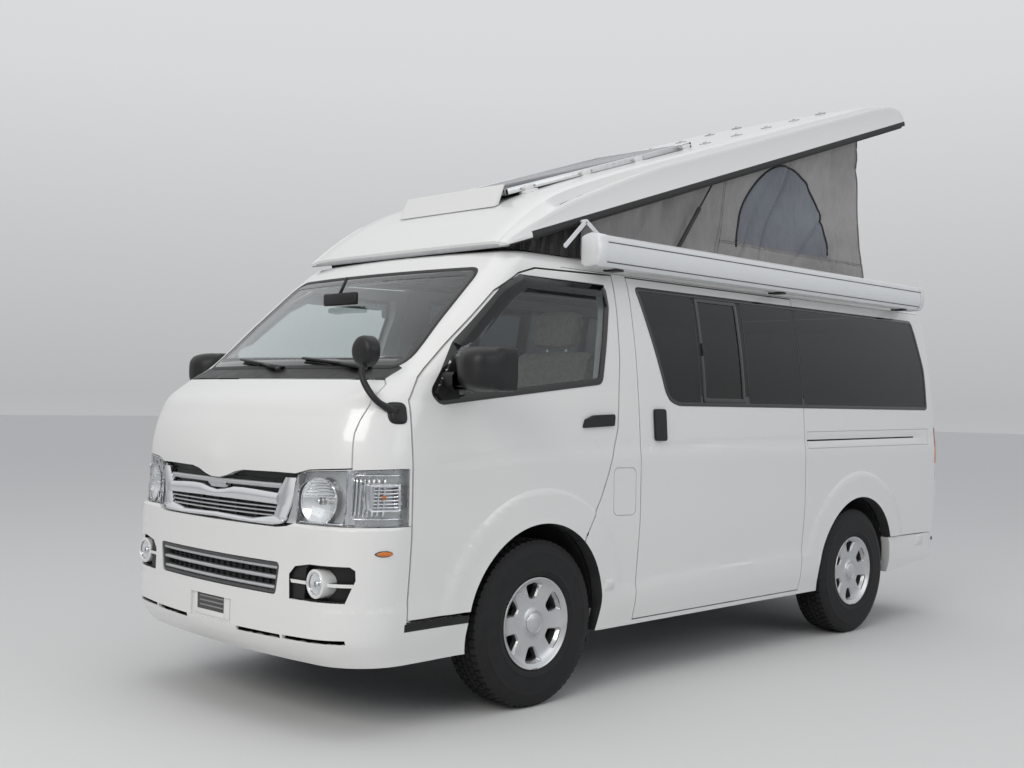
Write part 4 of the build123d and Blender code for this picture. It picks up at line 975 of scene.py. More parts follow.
def lid_flat(point):
    """Returns a raised point of the lid as it lies when closed, from the hinge."""
    return Matrix.Rotation(-LID_ANGLE, 3, "X") @ (point - LID_HINGE)


def lid_section(half, wall, shoulder, crown, gutter):
    """Returns the (x, h) points of the left half of the lid's outer skin, from its lower edge inwards."""
    lip = min(0.01, wall * 0.3)
    floor = wall + (crown - wall) * 0.15
    dip = floor - gutter * max(0.0, floor - (wall - 0.008))
    edge = half - 0.024
    points = [
        (half, 0), (half + 0.003, 0.003),
        (half + 0.003, min(0.022, wall * 0.4)), (half, min(0.027, wall * 0.5)),
        (half - 0.001, wall - 2 * lip), (half - 0.002, wall - lip * 0.6), (half - 0.005, wall - 0.1 * lip),
        (half - 0.01, wall), (half - 0.017, wall - 0.001 * gutter), (edge, wall * (1 - gutter) + dip * gutter),
        (edge - 0.5 * (edge - shoulder), dip + (1 - gutter) * 0.35 * (crown - wall)),
        (shoulder + 0.012, dip + (1 - gutter) * 0.8 * (crown - wall) + gutter * 0.002),
        (shoulder + 0.004, crown - 0.006), (shoulder - 0.006, crown - 0.001),
    ]
    across = (0.85, 0.6, 0.3, 0.0)
    return points + [((shoulder - 0.006) * share, crown + 0.004 * (1 - share**2)) for share in across]


def build_lid():
    """Returns the lid's moulded shell with its rim, its gutters and its hollow underside."""
    runs = np.unique(np.concatenate([
        [0.0, 0.004, 0.012, 0.03, 0.06], np.linspace(0.095, 0.8, 26), np.linspace(0.8, 3.45, 24),
        np.linspace(3.47, 3.588, 8), [3.597, LID_LENGTH],
    ]))
    rows = []
    for s, values in zip(runs, lid_values(runs)):
        gutter = float(soft_step(s, 0.32, 0.1) * soft_step(-s, -3.5, 0.06))
        left = lid_section(*values, gutter)
        rows.append([lid_place(x, s, h) for x, h in left + [(-x, h) for x, h in left[-2::-1]]])
    width, first = len(rows[0]), len(rows) * len(rows[0])
    inner_runs = np.concatenate([[0.095], np.linspace(0.16, 3.46, 24), [3.524]])
    inner_rows = []
    for s, values in zip(inner_runs, lid_values(inner_runs)):
        half, wall, shoulder, crown = (value - LID_WALL for value in values)
        wall, crown = max(0.004, wall), max(0.006, crown)
        left = [(half, 0), (half, wall), (shoulder, crown), (shoulder * 0.4, crown)]
        inner_rows.append([lid_place(x, s, h) for x, h in left + [(-x, h) for x, h in left[::-1]]])
    faces = skin_faces(len(rows), width, False) + skin_faces(len(inner_rows), 8, False, first=first)
    loops = []
    for start, count, step in ((0, len(rows), width), (first, len(inner_rows), 8)):
        last = start + (count - 1) * step
        faces += [tuple(range(start, start + step)), tuple(range(last, last + step))]
        left_edge = [start + i * step for i in range(count)]
        loops.append(left_edge + [i + step - 1 for i in left_edge[::-1]])
    piece = mesh_object("lid_shell", [point for row in rows + inner_rows for point in row], faces)
    bm = bmesh.new()
    bm.from_mesh(piece.data)
    bm.verts.ensure_lookup_table()
    edges = set()
    for loop in loops:
        for a, b in zip(loop, loop[1:] + loop[:1]):
            ends = (bm.verts[a], bm.verts[b])
            edges.add(bm.edges.get(ends) or bm.edges.new(ends))
    bmesh.ops.triangle_fill(bm, edges=list(edges), use_beauty=True, use_dissolve=False)
    bmesh.ops.recalc_face_normals(bm, faces=bm.faces)
    bm.to_mesh(piece.data)
    bm.free()
    return smooth_by_angle(piece, 32)


lid_shell = finished(build_lid(), GELCOAT, "lid", "lid")
lid_shell.data.materials.append(RUBBER)
lid_shell.data.materials.append(TRIM_GREY)
for face in lid_shell.data.polygons:
    flat = lid_flat(face.center)
    edge = lid_column(flat.y, 1)
    trim = flat.z < 0.026 and flat.y > 0.16 and (abs(flat.x) > edge - 0.012 or flat.y > 3.585)
    facing_down = lid_flat(face.normal + LID_HINGE).z < -0.3
    lining = abs(flat.x) < edge - 0.024 and facing_down and flat.z > 0.002
    face.material_index = 1 if trim else 2 if lining else 0


def lid_tube(name, places, radius, sides=8):
    """Returns a tube through places in the lid's frame."""
    return tube(name, [lid_place(*place) for place in places], radius, sides)


seal_runs = [0.03, 0.2, 0.5, 1.0, 1.6, 2.2, 2.8, 3.3, 3.56]
seals = []
for sign, _, _ in SIDES:
    for inset_by, drop, size in ((0.01, 0.001, 0.0085), (0.024, 0.002, 0.007)):
        line = [(sign * (lid_column(s, 1) - inset_by), s, -drop) for s in seal_runs]
        seals.append(lid_tube("seal", line, size))
seals.append(lid_tube("seal", [(x, 3.575, -0.001) for x in np.linspace(-0.685, 0.685, 8)], 0.0085))
finished(joined("lid_seals", seals), RUBBER, "lid")
lip_line = [(x, 0.004 + 0.01 * (abs(x) / 0.69) ** 8, 0.003) for x in np.linspace(-0.69, 0.69, 21)]
finished(lid_tube("lid_front_lip", lip_line, 0.011, 10), SEAL_GREY, "lid")

RIB_START, RIB_END, RIB_LOW, RIB_FADE = 1.93, 3.37, 0.16, 0.14


def rib_place(x, s, h):
    """Returns a point of a rib on the lid, which runs out flat towards both ends."""
    fade = min(1.0, (s - RIB_START) / RIB_FADE, (RIB_END - s) / RIB_FADE)
    return lid_place(x, s, h - (1 - fade) * 0.017 if h > RIB_LOW else h)


ribs = []
for x in (0.12, -0.12, 0.5, -0.5):
    low, high = (x - 0.032, RIB_START, 0.15), (x + 0.032, RIB_END, 0.187)
    ribs.append(bent_box("rib", low, high, 0.012, 3, rib_place))
finished(joined("lid_ribs", ribs), GELCOAT, "lid")

up, along = (lid_place(0, *way) - lid_place(0, 0, 0) for way in ((0, 1), (1, 0)))
fittings = []
for x in (0.31, -0.31):
    fittings.append(bent_box("foot", (x - 0.026, 2.028, 0.166), (x + 0.026, 2.072, 0.176), bend=lid_place))
    fittings.append(disc("bolt", lid_place(x, 2.05, 0.183), up, 0.009, 0.01, 0.001, 12))
rail_mounts = grown(joined("lid_rail_mounts", fittings), ROW_TREE, STEEL, Count=5, Step=tuple(along * 0.3125))
finished(rail_mounts, STEEL, "lid")

# Links and strut studs
LINK_APEX, LINK_FEET = (-0.952, 2.064), [(-1.083, 1.943), (-0.868, 2.0115)]
LINK_X, STUD_PLACE = 0.736, (0.13, 2.42)


def bevelled_prism(name, low, high, offset, segments=1):
    """Returns a prism between two outlines of equal length, with bevelled edges."""
    bm = bmesh.new()
    low, high = [bm.verts.new(p) for p in low], [bm.verts.new(p) for p in high]
    bm.faces.new(low[::-1])
    bm.faces.new(high)
    for k in range(len(low)):
        n = (k + 1) % len(low)
        bm.faces.new((low[k], low[n], high[n], high[k]))
    bmesh.ops.recalc_face_normals(bm, faces=bm.faces)
    bmesh.ops.bevel(bm, geom=bm.edges[:], offset=offset, segments=segments, affect="EDGES")
    return from_bmesh(name, bm)


for sign, side, _ in SIDES:
    parts = []
    for foot in LINK_FEET:
        start, end = Vector((sign * LINK_X, *LINK_APEX)), Vector((sign * LINK_X, *foot))
        run = (end - start).normalized()
        across, thick = Vector((0, -run.z, run.y)) * 0.0105, Vector((0.002, 0, 0))
        outline = [start + across, end + across, end - across, start - across]
        faces = [p - thick for p in outline], [p + thick for p in outline]
        parts.append(bevelled_prism("link", *faces, 0.0008))
        parts.append(disc("eye", end + Vector((sign * 0.003, 0, 0)), (sign, 0, 0), 0.011, 0.006))
    parts.append(tube("pin", [(sign * 0.7, *LINK_APEX), (sign * 0.7375, *LINK_APEX)], 0.008, 16))
    finished(joined("lid_link_" + side, parts), AWNING_PAINT, "lid")
    stud = [(sign * 0.664, *STUD_PLACE), (sign * 0.69, *STUD_PLACE)]
    finished(tube("strut_stud_" + side, stud, 0.008, 16), STEEL, "lid")

# Solar panel
PANEL_START, PANEL_END, PANEL_HALF = 0.41, 1.88, 0.34
PANEL_LOW, PANEL_HIGH, PANEL_BAR, PANE_INSET = 0.174, 0.202, 0.018, 0.012
rails = []
for x0, x1, s0, s1 in (
    (-PANEL_HALF, PANEL_HALF, PANEL_START, PANEL_START + PANEL_BAR),
    (-PANEL_HALF, PANEL_HALF, PANEL_END - PANEL_BAR, PANEL_END),
    (-PANEL_HALF, -PANEL_HALF + PANEL_BAR, PANEL_START, PANEL_END),
    (PANEL_HALF - PANEL_BAR, PANEL_HALF, PANEL_START, PANEL_END),
):
    rails.append(bent_box("rail", (x0, s0, PANEL_LOW), (x1, s1, PANEL_HIGH), 0.0015, 1, lid_place))
finished(joined("solar_frame", rails), ALUMINIUM, "lid")
low = (-PANEL_HALF + PANE_INSET, PANEL_START + PANE_INSET, PANEL_HIGH - 0.014)
high = (PANEL_HALF - PANE_INSET, PANEL_END - PANE_INSET, PANEL_HIGH - 0.003)
cells = bent_box("solar_cells", low, high, 0.001, 1, lid_place)
uv = cells.data.uv_layers.new(name="cells")
for loop in cells.data.loops:
    x, s, _ = lid_flat(cells.data.vertices[loop.vertex_index].co)
    share = (s - PANEL_START) / (PANEL_END - PANEL_START)
    uv.data[loop.index].uv = ((x + PANEL_HALF) / (2 * PANEL_HALF), share)
finished(cells, SOLAR_CELLS, "lid", node="solar_panel")
wedge = [(0.326, 0.138), (0.41, 0.226), (0.4165, 0.224), (0.352, 0.142)]
ends = [[lid_place(x, s, h) for s, h in wedge] for x in (-PANEL_HALF, PANEL_HALF)]
finished(bevelled_prism("wind_deflector", *ends, 0.0015, 2), GELCOAT, "lid")
mounts, panel_bolts = [], []
for sign, _, _ in SIDES:
    x = sign * 0.342
    mounts.append(bent_box("foot", (x - 0.026, 0.518, 0.158), (x + 0.026, 0.602, 0.173), 0.004, 2, lid_place))
    mounts.append(bent_box("clamp", (x - 0.004, 0.532, 0.172), (x + 0.012, 0.588, 0.196), 0.002, 2, lid_place))
    for s in (0.515, 0.605):
        place = lid_place(sign * 0.3475, s, 0.187)
        panel_bolts.append(disc("bolt", place, (sign, 0, 0), 0.006, 0.008, 0.001, 12))
for name, pieces, material in (("solar_feet", mounts, GELCOAT), ("solar_bolts", panel_bolts, STEEL)):
    copies = grown(joined(name, pieces), ROW_TREE, material, Count=4, Step=tuple(along * 0.42))
    finished(copies, material, "lid")


# Wheels and tyres
AXLE_HEIGHT, TRACK = 0.346, 0.735
AXLES = (("front", -1.3175), ("rear", 1.2525))
# closed outline of the wheel as (distance along the axle, radius)
RIM_OUTLINE = [
    (0.034, 0.0305), (0.062, 0.0305), (0.062, 0.0005), (0.0845, 0.0005), (0.0843, 0.012), (0.0835, 0.024),
    (0.0815, 0.034), (0.0785, 0.0395), (0.0745, 0.0415), (0.0745, 0.0445), (0.077, 0.0465), (0.076, 0.05),
    (0.0722, 0.0535), (0.069, 0.06), (0.0672, 0.07), (0.0662, 0.085), (0.066, 0.1), (0.0664, 0.115),
    (0.0676, 0.13), (0.0694, 0.142), (0.0724, 0.153), (0.077, 0.164), (0.0832, 0.173), (0.0885, 0.1795),
    (0.092, 0.184), (0.0932, 0.187), (0.0925, 0.1895), (0.09, 0.1908), (-0.095, 0.1908), (-0.095, 0.178),
    (-0.078, 0.172), (-0.02, 0.168), (0.02, 0.165), (0.034, 0.15),
]
CAP_OUTLINE = [
    (0.0845, 0.0004), (0.0872, 0.0004), (0.0868, 0.012), (0.0855, 0.022), (0.0832, 0.0285), (0.0815, 0.029),
    (0.081, 0.02),
]
BEAD_OUTLINE = [
    (0.0755, 0.0408), (0.0768, 0.0402), (0.078, 0.0408), (0.0782, 0.042), (0.077, 0.043), (0.0755, 0.0428),
]
# closed outline of the tyre's body, without its tread
TYRE_OUTLINE = [
    (0.08, 0.1912), (0.087, 0.1925), (0.0925, 0.199), (0.096, 0.212), (0.0972, 0.216), (0.0985, 0.2175),
    (0.0985, 0.2205), (0.0978, 0.222), (0.0988, 0.236), (0.099, 0.254), (0.0984, 0.27), (0.0972, 0.286),
    (0.0978, 0.288), (0.0978, 0.2915), (0.0962, 0.2935), (0.0945, 0.306), (0.0905, 0.319), (0.086, 0.329),
    (0.08, 0.3362),
]
TREAD_HALF, TREAD_GROOVES = 0.08, (-0.045, -0.015, 0.015, 0.045)
GROOVE_HALF, GROOVE_DEPTH, PITCHES = 0.0042, 0.0075, 64


def revolve(name, outline, sides, angle=None):
    """Returns a closed outline of (along, radius) turned about the X axis."""
    rings = [[(x, r * math.cos(a), r * math.sin(a)) for x, r in outline] for a in turns(sides)]
    return lofted(name, rings, angle, loop=True)


def window_ring(low, high, low_half, high_half, corner):
    """Returns the rounded outline of one wheel window, as (y, z) about its middle line along +Z."""
    places = [(low, -low_half), (high, -high_half), (high, high_half), (low, low_half)]
    points = [(r * math.sin(math.radians(a)), r * math.cos(math.radians(a))) for r, a in places]
    points.insert(2, (0, points[1][1] + high * (1 - math.cos(math.radians(high_half)))))
    return rounded(points, corner, step=0.02, arc=6)


def make_wheel():
    """Returns the left wheel about its own centre: the cover with six bevelled windows and the rim."""
    wheel = revolve("wheel", RIM_OUTLINE, 144)
    low = window_ring(0.1045, 0.16, 8.6, 14.2, 0.01)
    wide = window_ring(0.096, 0.169, 12.8, 17.4, 0.014)
    cutters = []
    for k in range(6):
        turn = Matrix.Rotation(math.radians(60 * k), 3, "X")
        levels = ((0.02, low), (0.0585, low), (0.074, wide), (0.12, wide))
        rings = [[turn @ Vector((x, y, z)) for y, z in line] for x, line in levels]
        cutters.append(lofted("cutter", rings, None))
    cutters = joined("cutters", cutters)
    cut = wheel.modifiers.new("windows", "BOOLEAN")
    cut.object, cut.operation, cut.solver = cutters, "DIFFERENCE", "EXACT"
    applied(wheel)
    bpy.data.objects.remove(cutters)
    painted(SILVER, wheel)
    wheel.data.materials.append(DARK_GREY)
    for face in wheel.data.polygons:
        x, y, z = face.center
        inner = x < 0.058 and (math.hypot(y, z) < 0.17 or face.normal.x < -0.5 or x < 0.03)
        face.material_index = 1 if inner else 0
    smooth_by_angle(wheel, 26)
    valve = [(0.06, 0.005, 0.166), (0.074, 0.006, 0.158), (0.08, 0.006, 0.154)]
    return joined("wheel", [
        wheel, *painted(SILVER, revolve("cap", CAP_OUTLINE, 48, 40)),
        *painted(CHROME, revolve("ring", BEAD_OUTLINE, 72)),
        *painted(RUBBER, tube("valve", valve, [0.0055, 0.0052, 0.0038], 10)),
        *painted(CAST, bent_box("weight", (0.084, -0.025, -0.1885), (0.0935, 0.01, -0.1845), 0.001, 1)),
    ])


def tread_point(x, share, groove, low):
    """Returns a point of the tread at x across and a share of one pitch round, in a groove or cut or not."""
    reach = abs(x)
    skew = math.copysign(0.35, x) * math.sin(min(1.0, reach / TREAD_HALF) * math.pi / 2)
    shift = 0.5 if 0.015 < reach < 0.0455 else 0.0
    turn = (share + skew + shift) * 2 * math.pi / PITCHES
    depth = GROOVE_DEPTH if groove and reach < TREAD_HALF - 0.001 else 0.0
    if low:
        depth = max(depth, 0.0025 if reach < 0.0145 else 0.006)
    crown = 0.0002 + 0.0008 * (reach / 0.06) ** 4 if reach < 0.066 else 0.0018
    if reach > 0.0775:
        crown, depth = 0.009 if groove else 0.004, 0.004 if low else 0.0
    radius = 0.333 if groove is None else AXLE_HEIGHT - crown - depth
    return x, radius * math.sin(turn), radius * math.cos(turn)


def make_tyre():
    """Returns the left tyre about its own centre: sidewalls, shoulders and a blocked tread."""
    body = revolve("tyre", TYRE_OUTLINE + [(-x, r) for x, r in reversed(TYRE_OUTLINE)], 128, 32)
    across = [(-TREAD_HALF, 1), (TREAD_HALF, 1)]
    across += [(x, 0) for x in (-0.078, -0.062, -0.03, 0.0, 0.03, 0.062, 0.078)]
    for groove in TREAD_GROOVES:
        walls = ((-GROOVE_HALF, 0), (0.0012 - GROOVE_HALF, 1), (GROOVE_HALF - 0.0012, 1), (GROOVE_HALF, 0))
        across += [(groove + wall, deep) for wall, deep in walls]
    section = [(-0.0806, None)] + sorted(across) + [(0.0806, None)]
    steps = [(0.0, 0), (0.38, 0), (0.74, 0), (0.78, 1), (0.96, 1), (1.0, 0)]
    vertices = [tread_point(x, share, groove, low) for share, low in steps for x, groove in section]
    pitch = mesh_object("tread", vertices, skin_faces(len(steps), len(section)))
    tread = outward(grown(pitch, RING_TREE, TYRE_RUBBER, Count=PITCHES))
    return joined("tyre", [body, smooth_by_angle(tread, 24)])


masters = ((make_wheel(), "wheel_", "wheel_silver", None), (make_tyre(), "tyre_", "tyre_rubber", TYRE_RUBBER))
for end, axle_y in AXLES:
    for sign, side, _ in SIDES:
        place_name = end + "_" + side
        for master, kind, slot, material in masters:
            mesh = master.data.copy()
            for vert in mesh.vertices:
                x, y, z = vert.co
                vert.co = (sign * (TRACK + x), axle_y + y, AXLE_HEIGHT + z)
            if sign < 0:
                mesh.flip_normals()
            wheel = placed(kind + place_name + "_form", mesh)
            finished(wheel, material, "wheel_" + place_name, kind + place_name)
for master, *_ in masters:
    bpy.data.objects.remove(master)


# Grille
BAR_SHARES = (0.0, 0.04, 0.14, 0.32, 0.5, 0.68, 0.86, 0.96, 1.0)
MAIN_BAR = [
    (0.0, 0.856, 0.886), (0.06, 0.8563, 0.892), (0.119, 0.857, 0.9028), (0.185, 0.8562, 0.904),
    (0.281, 0.8548, 0.901), (0.398, 0.852, 0.895),
]
FOOT_BAR = [
    (0.0, 0.778, 0.797), (0.202, 0.774, 0.7935), (0.257, 0.774, 0.793), (0.32, 0.774, 0.8),
    (0.384, 0.775, 0.808), (0.42, 0.78, 0.803), (0.436, 0.788, 0.796),
]
WING_BAR = [
    (0.794, 0.424, 0.441), (0.806, 0.374, 0.445), (0.822, 0.38, 0.452), (0.85, 0.391, 0.464),
    (0.893, 0.389, 0.478), (0.93, 0.412, 0.483), (0.958, 0.432, 0.487),
]
FILLER_BAR = [(0.786, 0.444, 0.496), (0.852, 0.466, 0.4965), (0.966, 0.485, 0.497)]
EMBLEM_BASE = [(0.0, 0.895, 0.928), (0.05, 0.895, 0.928), (0.064, 0.905, 0.92)]
BACK_PLATE = [(0.0, 0.77, 0.974), (0.406, 0.77, 0.974), (0.466, 0.779, 0.974), (0.496, 0.79, 0.974)]
INTAKE_PLATE = [
    (0.0, 0.5181, 0.6339), (0.4175, 0.5181, 0.6339), (0.418, 0.524, 0.6339), (0.4345, 0.604, 0.6339),
    (0.4375, 0.624, 0.633),
]
INTAKE_OUTLINE = [(-0.4165, 0.518), (0.4165, 0.518), (0.4385, 0.634), (-0.4385, 0.634)]


def nose_bar(name, rows, out, rise, back=-0.03, step=0.012, upright=False):
    """Returns a rounded bar on the nose from rows of (place along, low edge, high edge), mirrored from 0."""
    rows = np.array(rows, float)
    if rows[0, 0] == 0:
        rows = np.vstack([rows[::-1] * (-1, 1, 1), rows[1:]])
    count = max(3, int((rows[-1, 0] - rows[0, 0]) / step) + 1)
    along = np.unique(np.concatenate([np.linspace(rows[0, 0], rows[-1, 0], count), rows[:, 0]]))
    low, high = np.interp(along, rows[:, 0], rows[:, 1]), np.interp(along, rows[:, 0], rows[:, 2])
    heights = [(share, out - rise * abs(2 * share - 1) ** 2.2) for share in BAR_SHARES]
    lines = []
    for share, height in [(0.0, back), *heights, (1.0, back)]:
        across = low + (high - low) * share
        lines.append(skin_map("nose", list(zip(across, along) if upright else zip(along, across)), height))
    return lofted(name, zip(*lines), 50)


def straight_bar(name, middle, half, start, end, out, rise, **more):
    """Returns a bar on the nose of one width from start to end."""
    return nose_bar(name, [(place, middle - half, middle + half) for place in (start, end)], out, rise, **more)


wing = nose_bar("wing", WING_BAR, 0.0055, 0.01, upright=True)
bright = [nose_bar("bar", MAIN_BAR, 0.005, 0.009), nose_bar("foot", FOOT_BAR, 0.005, 0.008)]
bright += [wing, mirror_copy(wing)]
filler = nose_bar("filler", FILLER_BAR, -0.01, 0.003, upright=True)
slats = [straight_bar("slat", 0.923, 0.01, 0, 0.416, -0.007, 0.006), filler, mirror_copy(filler)]
slats.append(nose_bar("emblem_base", EMBLEM_BASE, -0.005, 0.006))
for z, reach in ((0.84, 0.388), (0.824, 0.38), (0.808, 0.372)):
    slats.append(straight_bar("slat", z, 0.0035, 0, reach, -0.008, 0.004))
for z in (0.616, 0.577, 0.538):
    slats.append(straight_bar("slat", z, 0.008, 0, 0.4085 + (z - 0.514) * 0.177, -0.005, 0.007, step=0.02))
dark = [nose_bar("plate", rows, -0.034, 0.0, back=-0.046) for rows in (BACK_PLATE, INTAKE_PLATE)]
for x in (0.0, 0.128, -0.128, 0.256, -0.256):
    dark.append(straight_bar("post", x, 0.003, 0.782, 0.862, -0.012, 0.002, upright=True))
for z in (0.946, 0.9, 0.848, 0.832, 0.816, 0.8):
    dark.append(straight_bar("rib", z, 0.0015, 0, 0.44, -0.026, 0.001, back=-0.036))
for z in (0.5265, 0.5955, 0.5575, 0.6275):
    dark.append(straight_bar("rib", z, 0.001, 0, 0.414, -0.028, 0.001, back=-0.036))
for k in range(-9, 10):
    dark.append(straight_bar("rib", k * 0.0435, 0.001, 0.522, 0.63, -0.026, 0.001, back=-0.036, upright=True))
intake_frame = band("intake_frame", "nose", rounded(INTAKE_OUTLINE, 0.014), 0.011, -0.006, 0.036)
grille = painted(CHROME, *bright) + painted(SILVER, *slats)
grille += painted(DARK_GREY, intake_frame) + painted(BLACK_PLASTIC, *dark)
finished(joined("grille_form", grille), None, ROOT, "grille")


# Headlamps
def lamp_shell(name, front, thickness, offset):
    """Returns the left headlamp's outer face as a lens, or its other faces as a housing."""
    bm = diced(frame["nodes"]["headlamps"], (0.02, 0.02, 0.02))
    centres = np.array([f.calc_center_median() for f in bm.faces])
    off, _ = skin_offset(centres, smooth=False)
    wanted = (centres[:, 2] > 0.72) & (centres[:, 0] > 0) & ((off > -0.0058) == front)
    bmesh.ops.delete(bm, geom=[f for f, keep in zip(bm.faces, wanted) if not keep], context="FACES")
    bmesh.ops.delete(bm, geom=[v for v in bm.verts if not v.link_faces], context="VERTS")
    points = np.array([v.co for v in bm.verts])
    off, normal = skin_offset(points, smooth=front)
    curved, _ = skin_offset(points)
    shift = -0.001 if front else np.where(off < -0.02, 0.004, -0.0045) + off
    points[:, :2] += normal * (shift - curved + relief(points, normal))[:, None]
    for vert, point in zip(bm.verts, points):
        vert.co = point
    bmesh.ops.remove_doubles(bm, verts=bm.verts, dist=5e-4)
    if front:
        bmesh.ops.dissolve_degenerate(bm, dist=1e-4, edges=bm.edges)
    bmesh.ops.recalc_face_normals(bm, faces=bm.faces)
    return smooth_by_angle(walled(from_bmesh(name, bm, 40), thickness, offset), 40)


LAMP_X, LAMP_Z, FLUTE_STEP = 0.594, 0.876, 0.0115
centre, normal = skin_frame("nose", LAMP_X, LAMP_Z, -0.019)
foot = centre - normal * 0.02
marker, marker_normal = skin_frame("left", -2.118, 0.898, -0.022)
bezel = rounded(box_outline(-2.172, -2.066, 0.846, 0.95), 0.01)
flutes = []
for k in range(1, 7):
    reach, z = math.sqrt(0.078**2 - (k * FLUTE_STEP) ** 2), LAMP_Z + 0.006 + k * FLUTE_STEP
    reach = reach if k < 6 else 0.034
    line = skin_line("nose", (LAMP_X - reach, z), (LAMP_X + reach, z), 10, -0.0235)
    flutes.append(tube("flute", line, 0.0022, 6))
for k in range(7):
    x, z = 0.738 + k * 0.0105, 0.86 + k * 0.0128
    flutes.append(tube("flute", skin_line("nose", (x, 0.828), (x, 0.968), 8, -0.02), 0.004, 8))
    flutes.append(tube("flute", skin_line("left", (-2.16, z), (-2.072, z), 6, -0.022), 0.0034, 6))
trims = [
    ring("rim", centre + normal * 0.002, normal, 0.0862, 0.0032),
    band("frame", "left", bezel, 0.01, -0.009, 0.034),
    tube("bulb_cap", [foot + normal * 0.022, foot + normal * 0.027], [0.0085, 0.0075], 16),
    straight_bar("divider", 0.7195, 0.008, 0.796, 0.997, -0.007, 0.004, back=-0.036, upright=True),
    straight_bar("shelf", 0.796, 0.003, 0.515, 0.712, -0.007, 0.002, back=-0.036),
]
for z in (0.817, 0.979):
    trims.append(tube("rail", skin_line("nose", (0.735, z), (0.805, z), 8, -0.016), 0.004, 8))
    trims.append(tube("rail", skin_line("left", (-2.185, z), (-2.055, z), 8, -0.016), 0.004, 8))
left_lamp = joined("lamp_left", [
    *painted(LENS, lamp_shell("lens", True, 0.003, -1)),
    *painted(SILVER, lamp_shell("tub", False, 0.0012, 0)),
    *painted(REFLECTOR, dish("reflector", centre, normal, 0.085, 0.02), *flutes), *painted(CHROME, *trims),
    *painted(STEEL, tube("bulb_collar", [foot, foot + normal * 0.008], 0.014, 20)),
    *painted(BULB, tube("bulb", [foot + normal * 0.006, foot + normal * 0.022], 0.0075, 16)),
    *painted(AMBER_LENS, tube("bulb", [marker, marker + marker_normal * 0.01], [0.01, 0.008], 16)),
])

# Fog lamps
FOG_X, FOG_Y, FOG_Z = 0.632, -2.298, 0.576
AHEAD = (0, -1, 0)


def fog_place(back):
    """Returns the fog lamp's centre, moved back by a little."""
    return Vector((FOG_X, FOG_Y + back, FOG_Z))


left_fog = joined("fog_left", [
    *painted(REFLECTOR, dish("fog_reflector", fog_place(0.0065), AHEAD, 0.0385, 0.006)),
    *painted(CHROME, ring("fog_rim", fog_place(0.0005), AHEAD, 0.0405, 0.0024),
             tube("fog_bulb", [fog_place(0.011), fog_place(0.006)], 0.011, 20)),
    *painted(LENS, disc("fog_glass", fog_place(0.0012), AHEAD, 0.0395, 0.0035, 0.0015, 48)),
    *painted(PAINT, ring("fog_bezel", fog_place(0.0015), AHEAD, 0.0475, 0.0052)),
])
lamps = joined("lamp_set", [left_lamp, mirror_copy(left_lamp), left_fog, mirror_copy(left_fog)])
finished(lamps, None, ROOT, "headlamps")


# Markers, sensors and the bare plate holder
def pointed_oval(y, z, half_y, half_z):
    """Returns a pointed oval outline about a centre."""
    return [(y + half_y * math.cos(a), z + half_z * math.sin(a) * (1 - 0.28 * abs(math.cos(a)) ** 3))
            for a in turns(24)]


for _, view, _ in SIDES:
    base = plate_on_skin("base", view, pointed_oval(-2.135, 0.693, 0.0335, 0.0115), -0.002, 0.0035, 0.001)
    lens = plate_on_skin("lens", view, pointed_oval(-2.135, 0.693, 0.0295, 0.0088), 0.0, 0.0065, 0.0025)
    finished(joined("side_marker_" + view, painted(GLOSS_BLACK, base) + painted(AMBER_LENS, lens)), None)
    small = []
    for y0, y1, z0, z1 in ((-0.896, -0.832, 0.44, 0.49), (2.0, 2.086, 0.438, 0.502)):
        base = rounded(box_outline(y0, y1, z0, z1), 0.01)
        lens = rounded(box_outline(y0 + 0.008, y1 - 0.008, z0 + 0.008, z1 - 0.008), 0.006)
        small += painted(AWNING_PAINT, plate_on_skin("base", view, base, -0.002, 0.004, 0.0015))
        small += painted(FROSTED, plate_on_skin("lens", view, lens, 0.001, 0.0075, 0.003))
    centre, normal = skin_frame(view, 2.233, 0.463)
    small += painted(BLACK_PLASTIC, disc("sensor", centre + normal * 0.003, normal, 0.011, 0.006, 0.0015, 24))
    finished(joined("side_lights_" + view, small), None)

PLATE_FRONT, PLATE_REAR = -2.338, -2.337
holder = []
for x0, x1, z0, z1 in (
    (-0.134, -0.111, 0.377, 0.4635), (0.09, 0.13, 0.377, 0.4635), (-0.112, 0.091, 0.377, 0.398),
):
    holder.append(bent_box("rail", (x0, PLATE_FRONT - 0.0055, z0), (x1, PLATE_REAR, z1), 0.0012))
louvres = []
for z in (0.412, 0.43, 0.448):
    low, high = (-0.092, PLATE_FRONT - 0.004, z), (0.08, PLATE_FRONT, z + 0.006)
    louvres.append(bent_box("louvre", low, high, 0.001, 1))
backing = bent_box("back", (-0.112, PLATE_FRONT - 0.0015, 0.397), (0.091, PLATE_REAR, 0.4635), 0.0003, 1)
holder = painted(PAINT, *holder) + painted(DARK_GREY, backing) + painted(TRIM_GREY, *louvres)
finished(joined("plate_holder", holder), None)


# Awning case
AWNING_FRONT, AWNING_REAR, AWNING_CAP = -1.0, 2.005, 0.058
# closed outline of the case as (x, z)
AWNING_OUTLINE = [
    (0.7455, 1.868), (0.77, 1.8535), (0.806, 1.8545), (0.838, 1.8575), (0.851, 1.872), (0.8608, 1.898),
    (0.8622, 1.925), (0.8612, 1.955), (0.859, 1.962), (0.8592, 1.9645), (0.858, 1.975), (0.8545, 1.988),
    (0.845, 1.9955), (0.823, 2.001), (0.8, 2.0045), (0.775, 2.001), (0.752, 1.9935), (0.7455, 1.985),
]
AWNING_CENTRE = (0.803, 1.93)


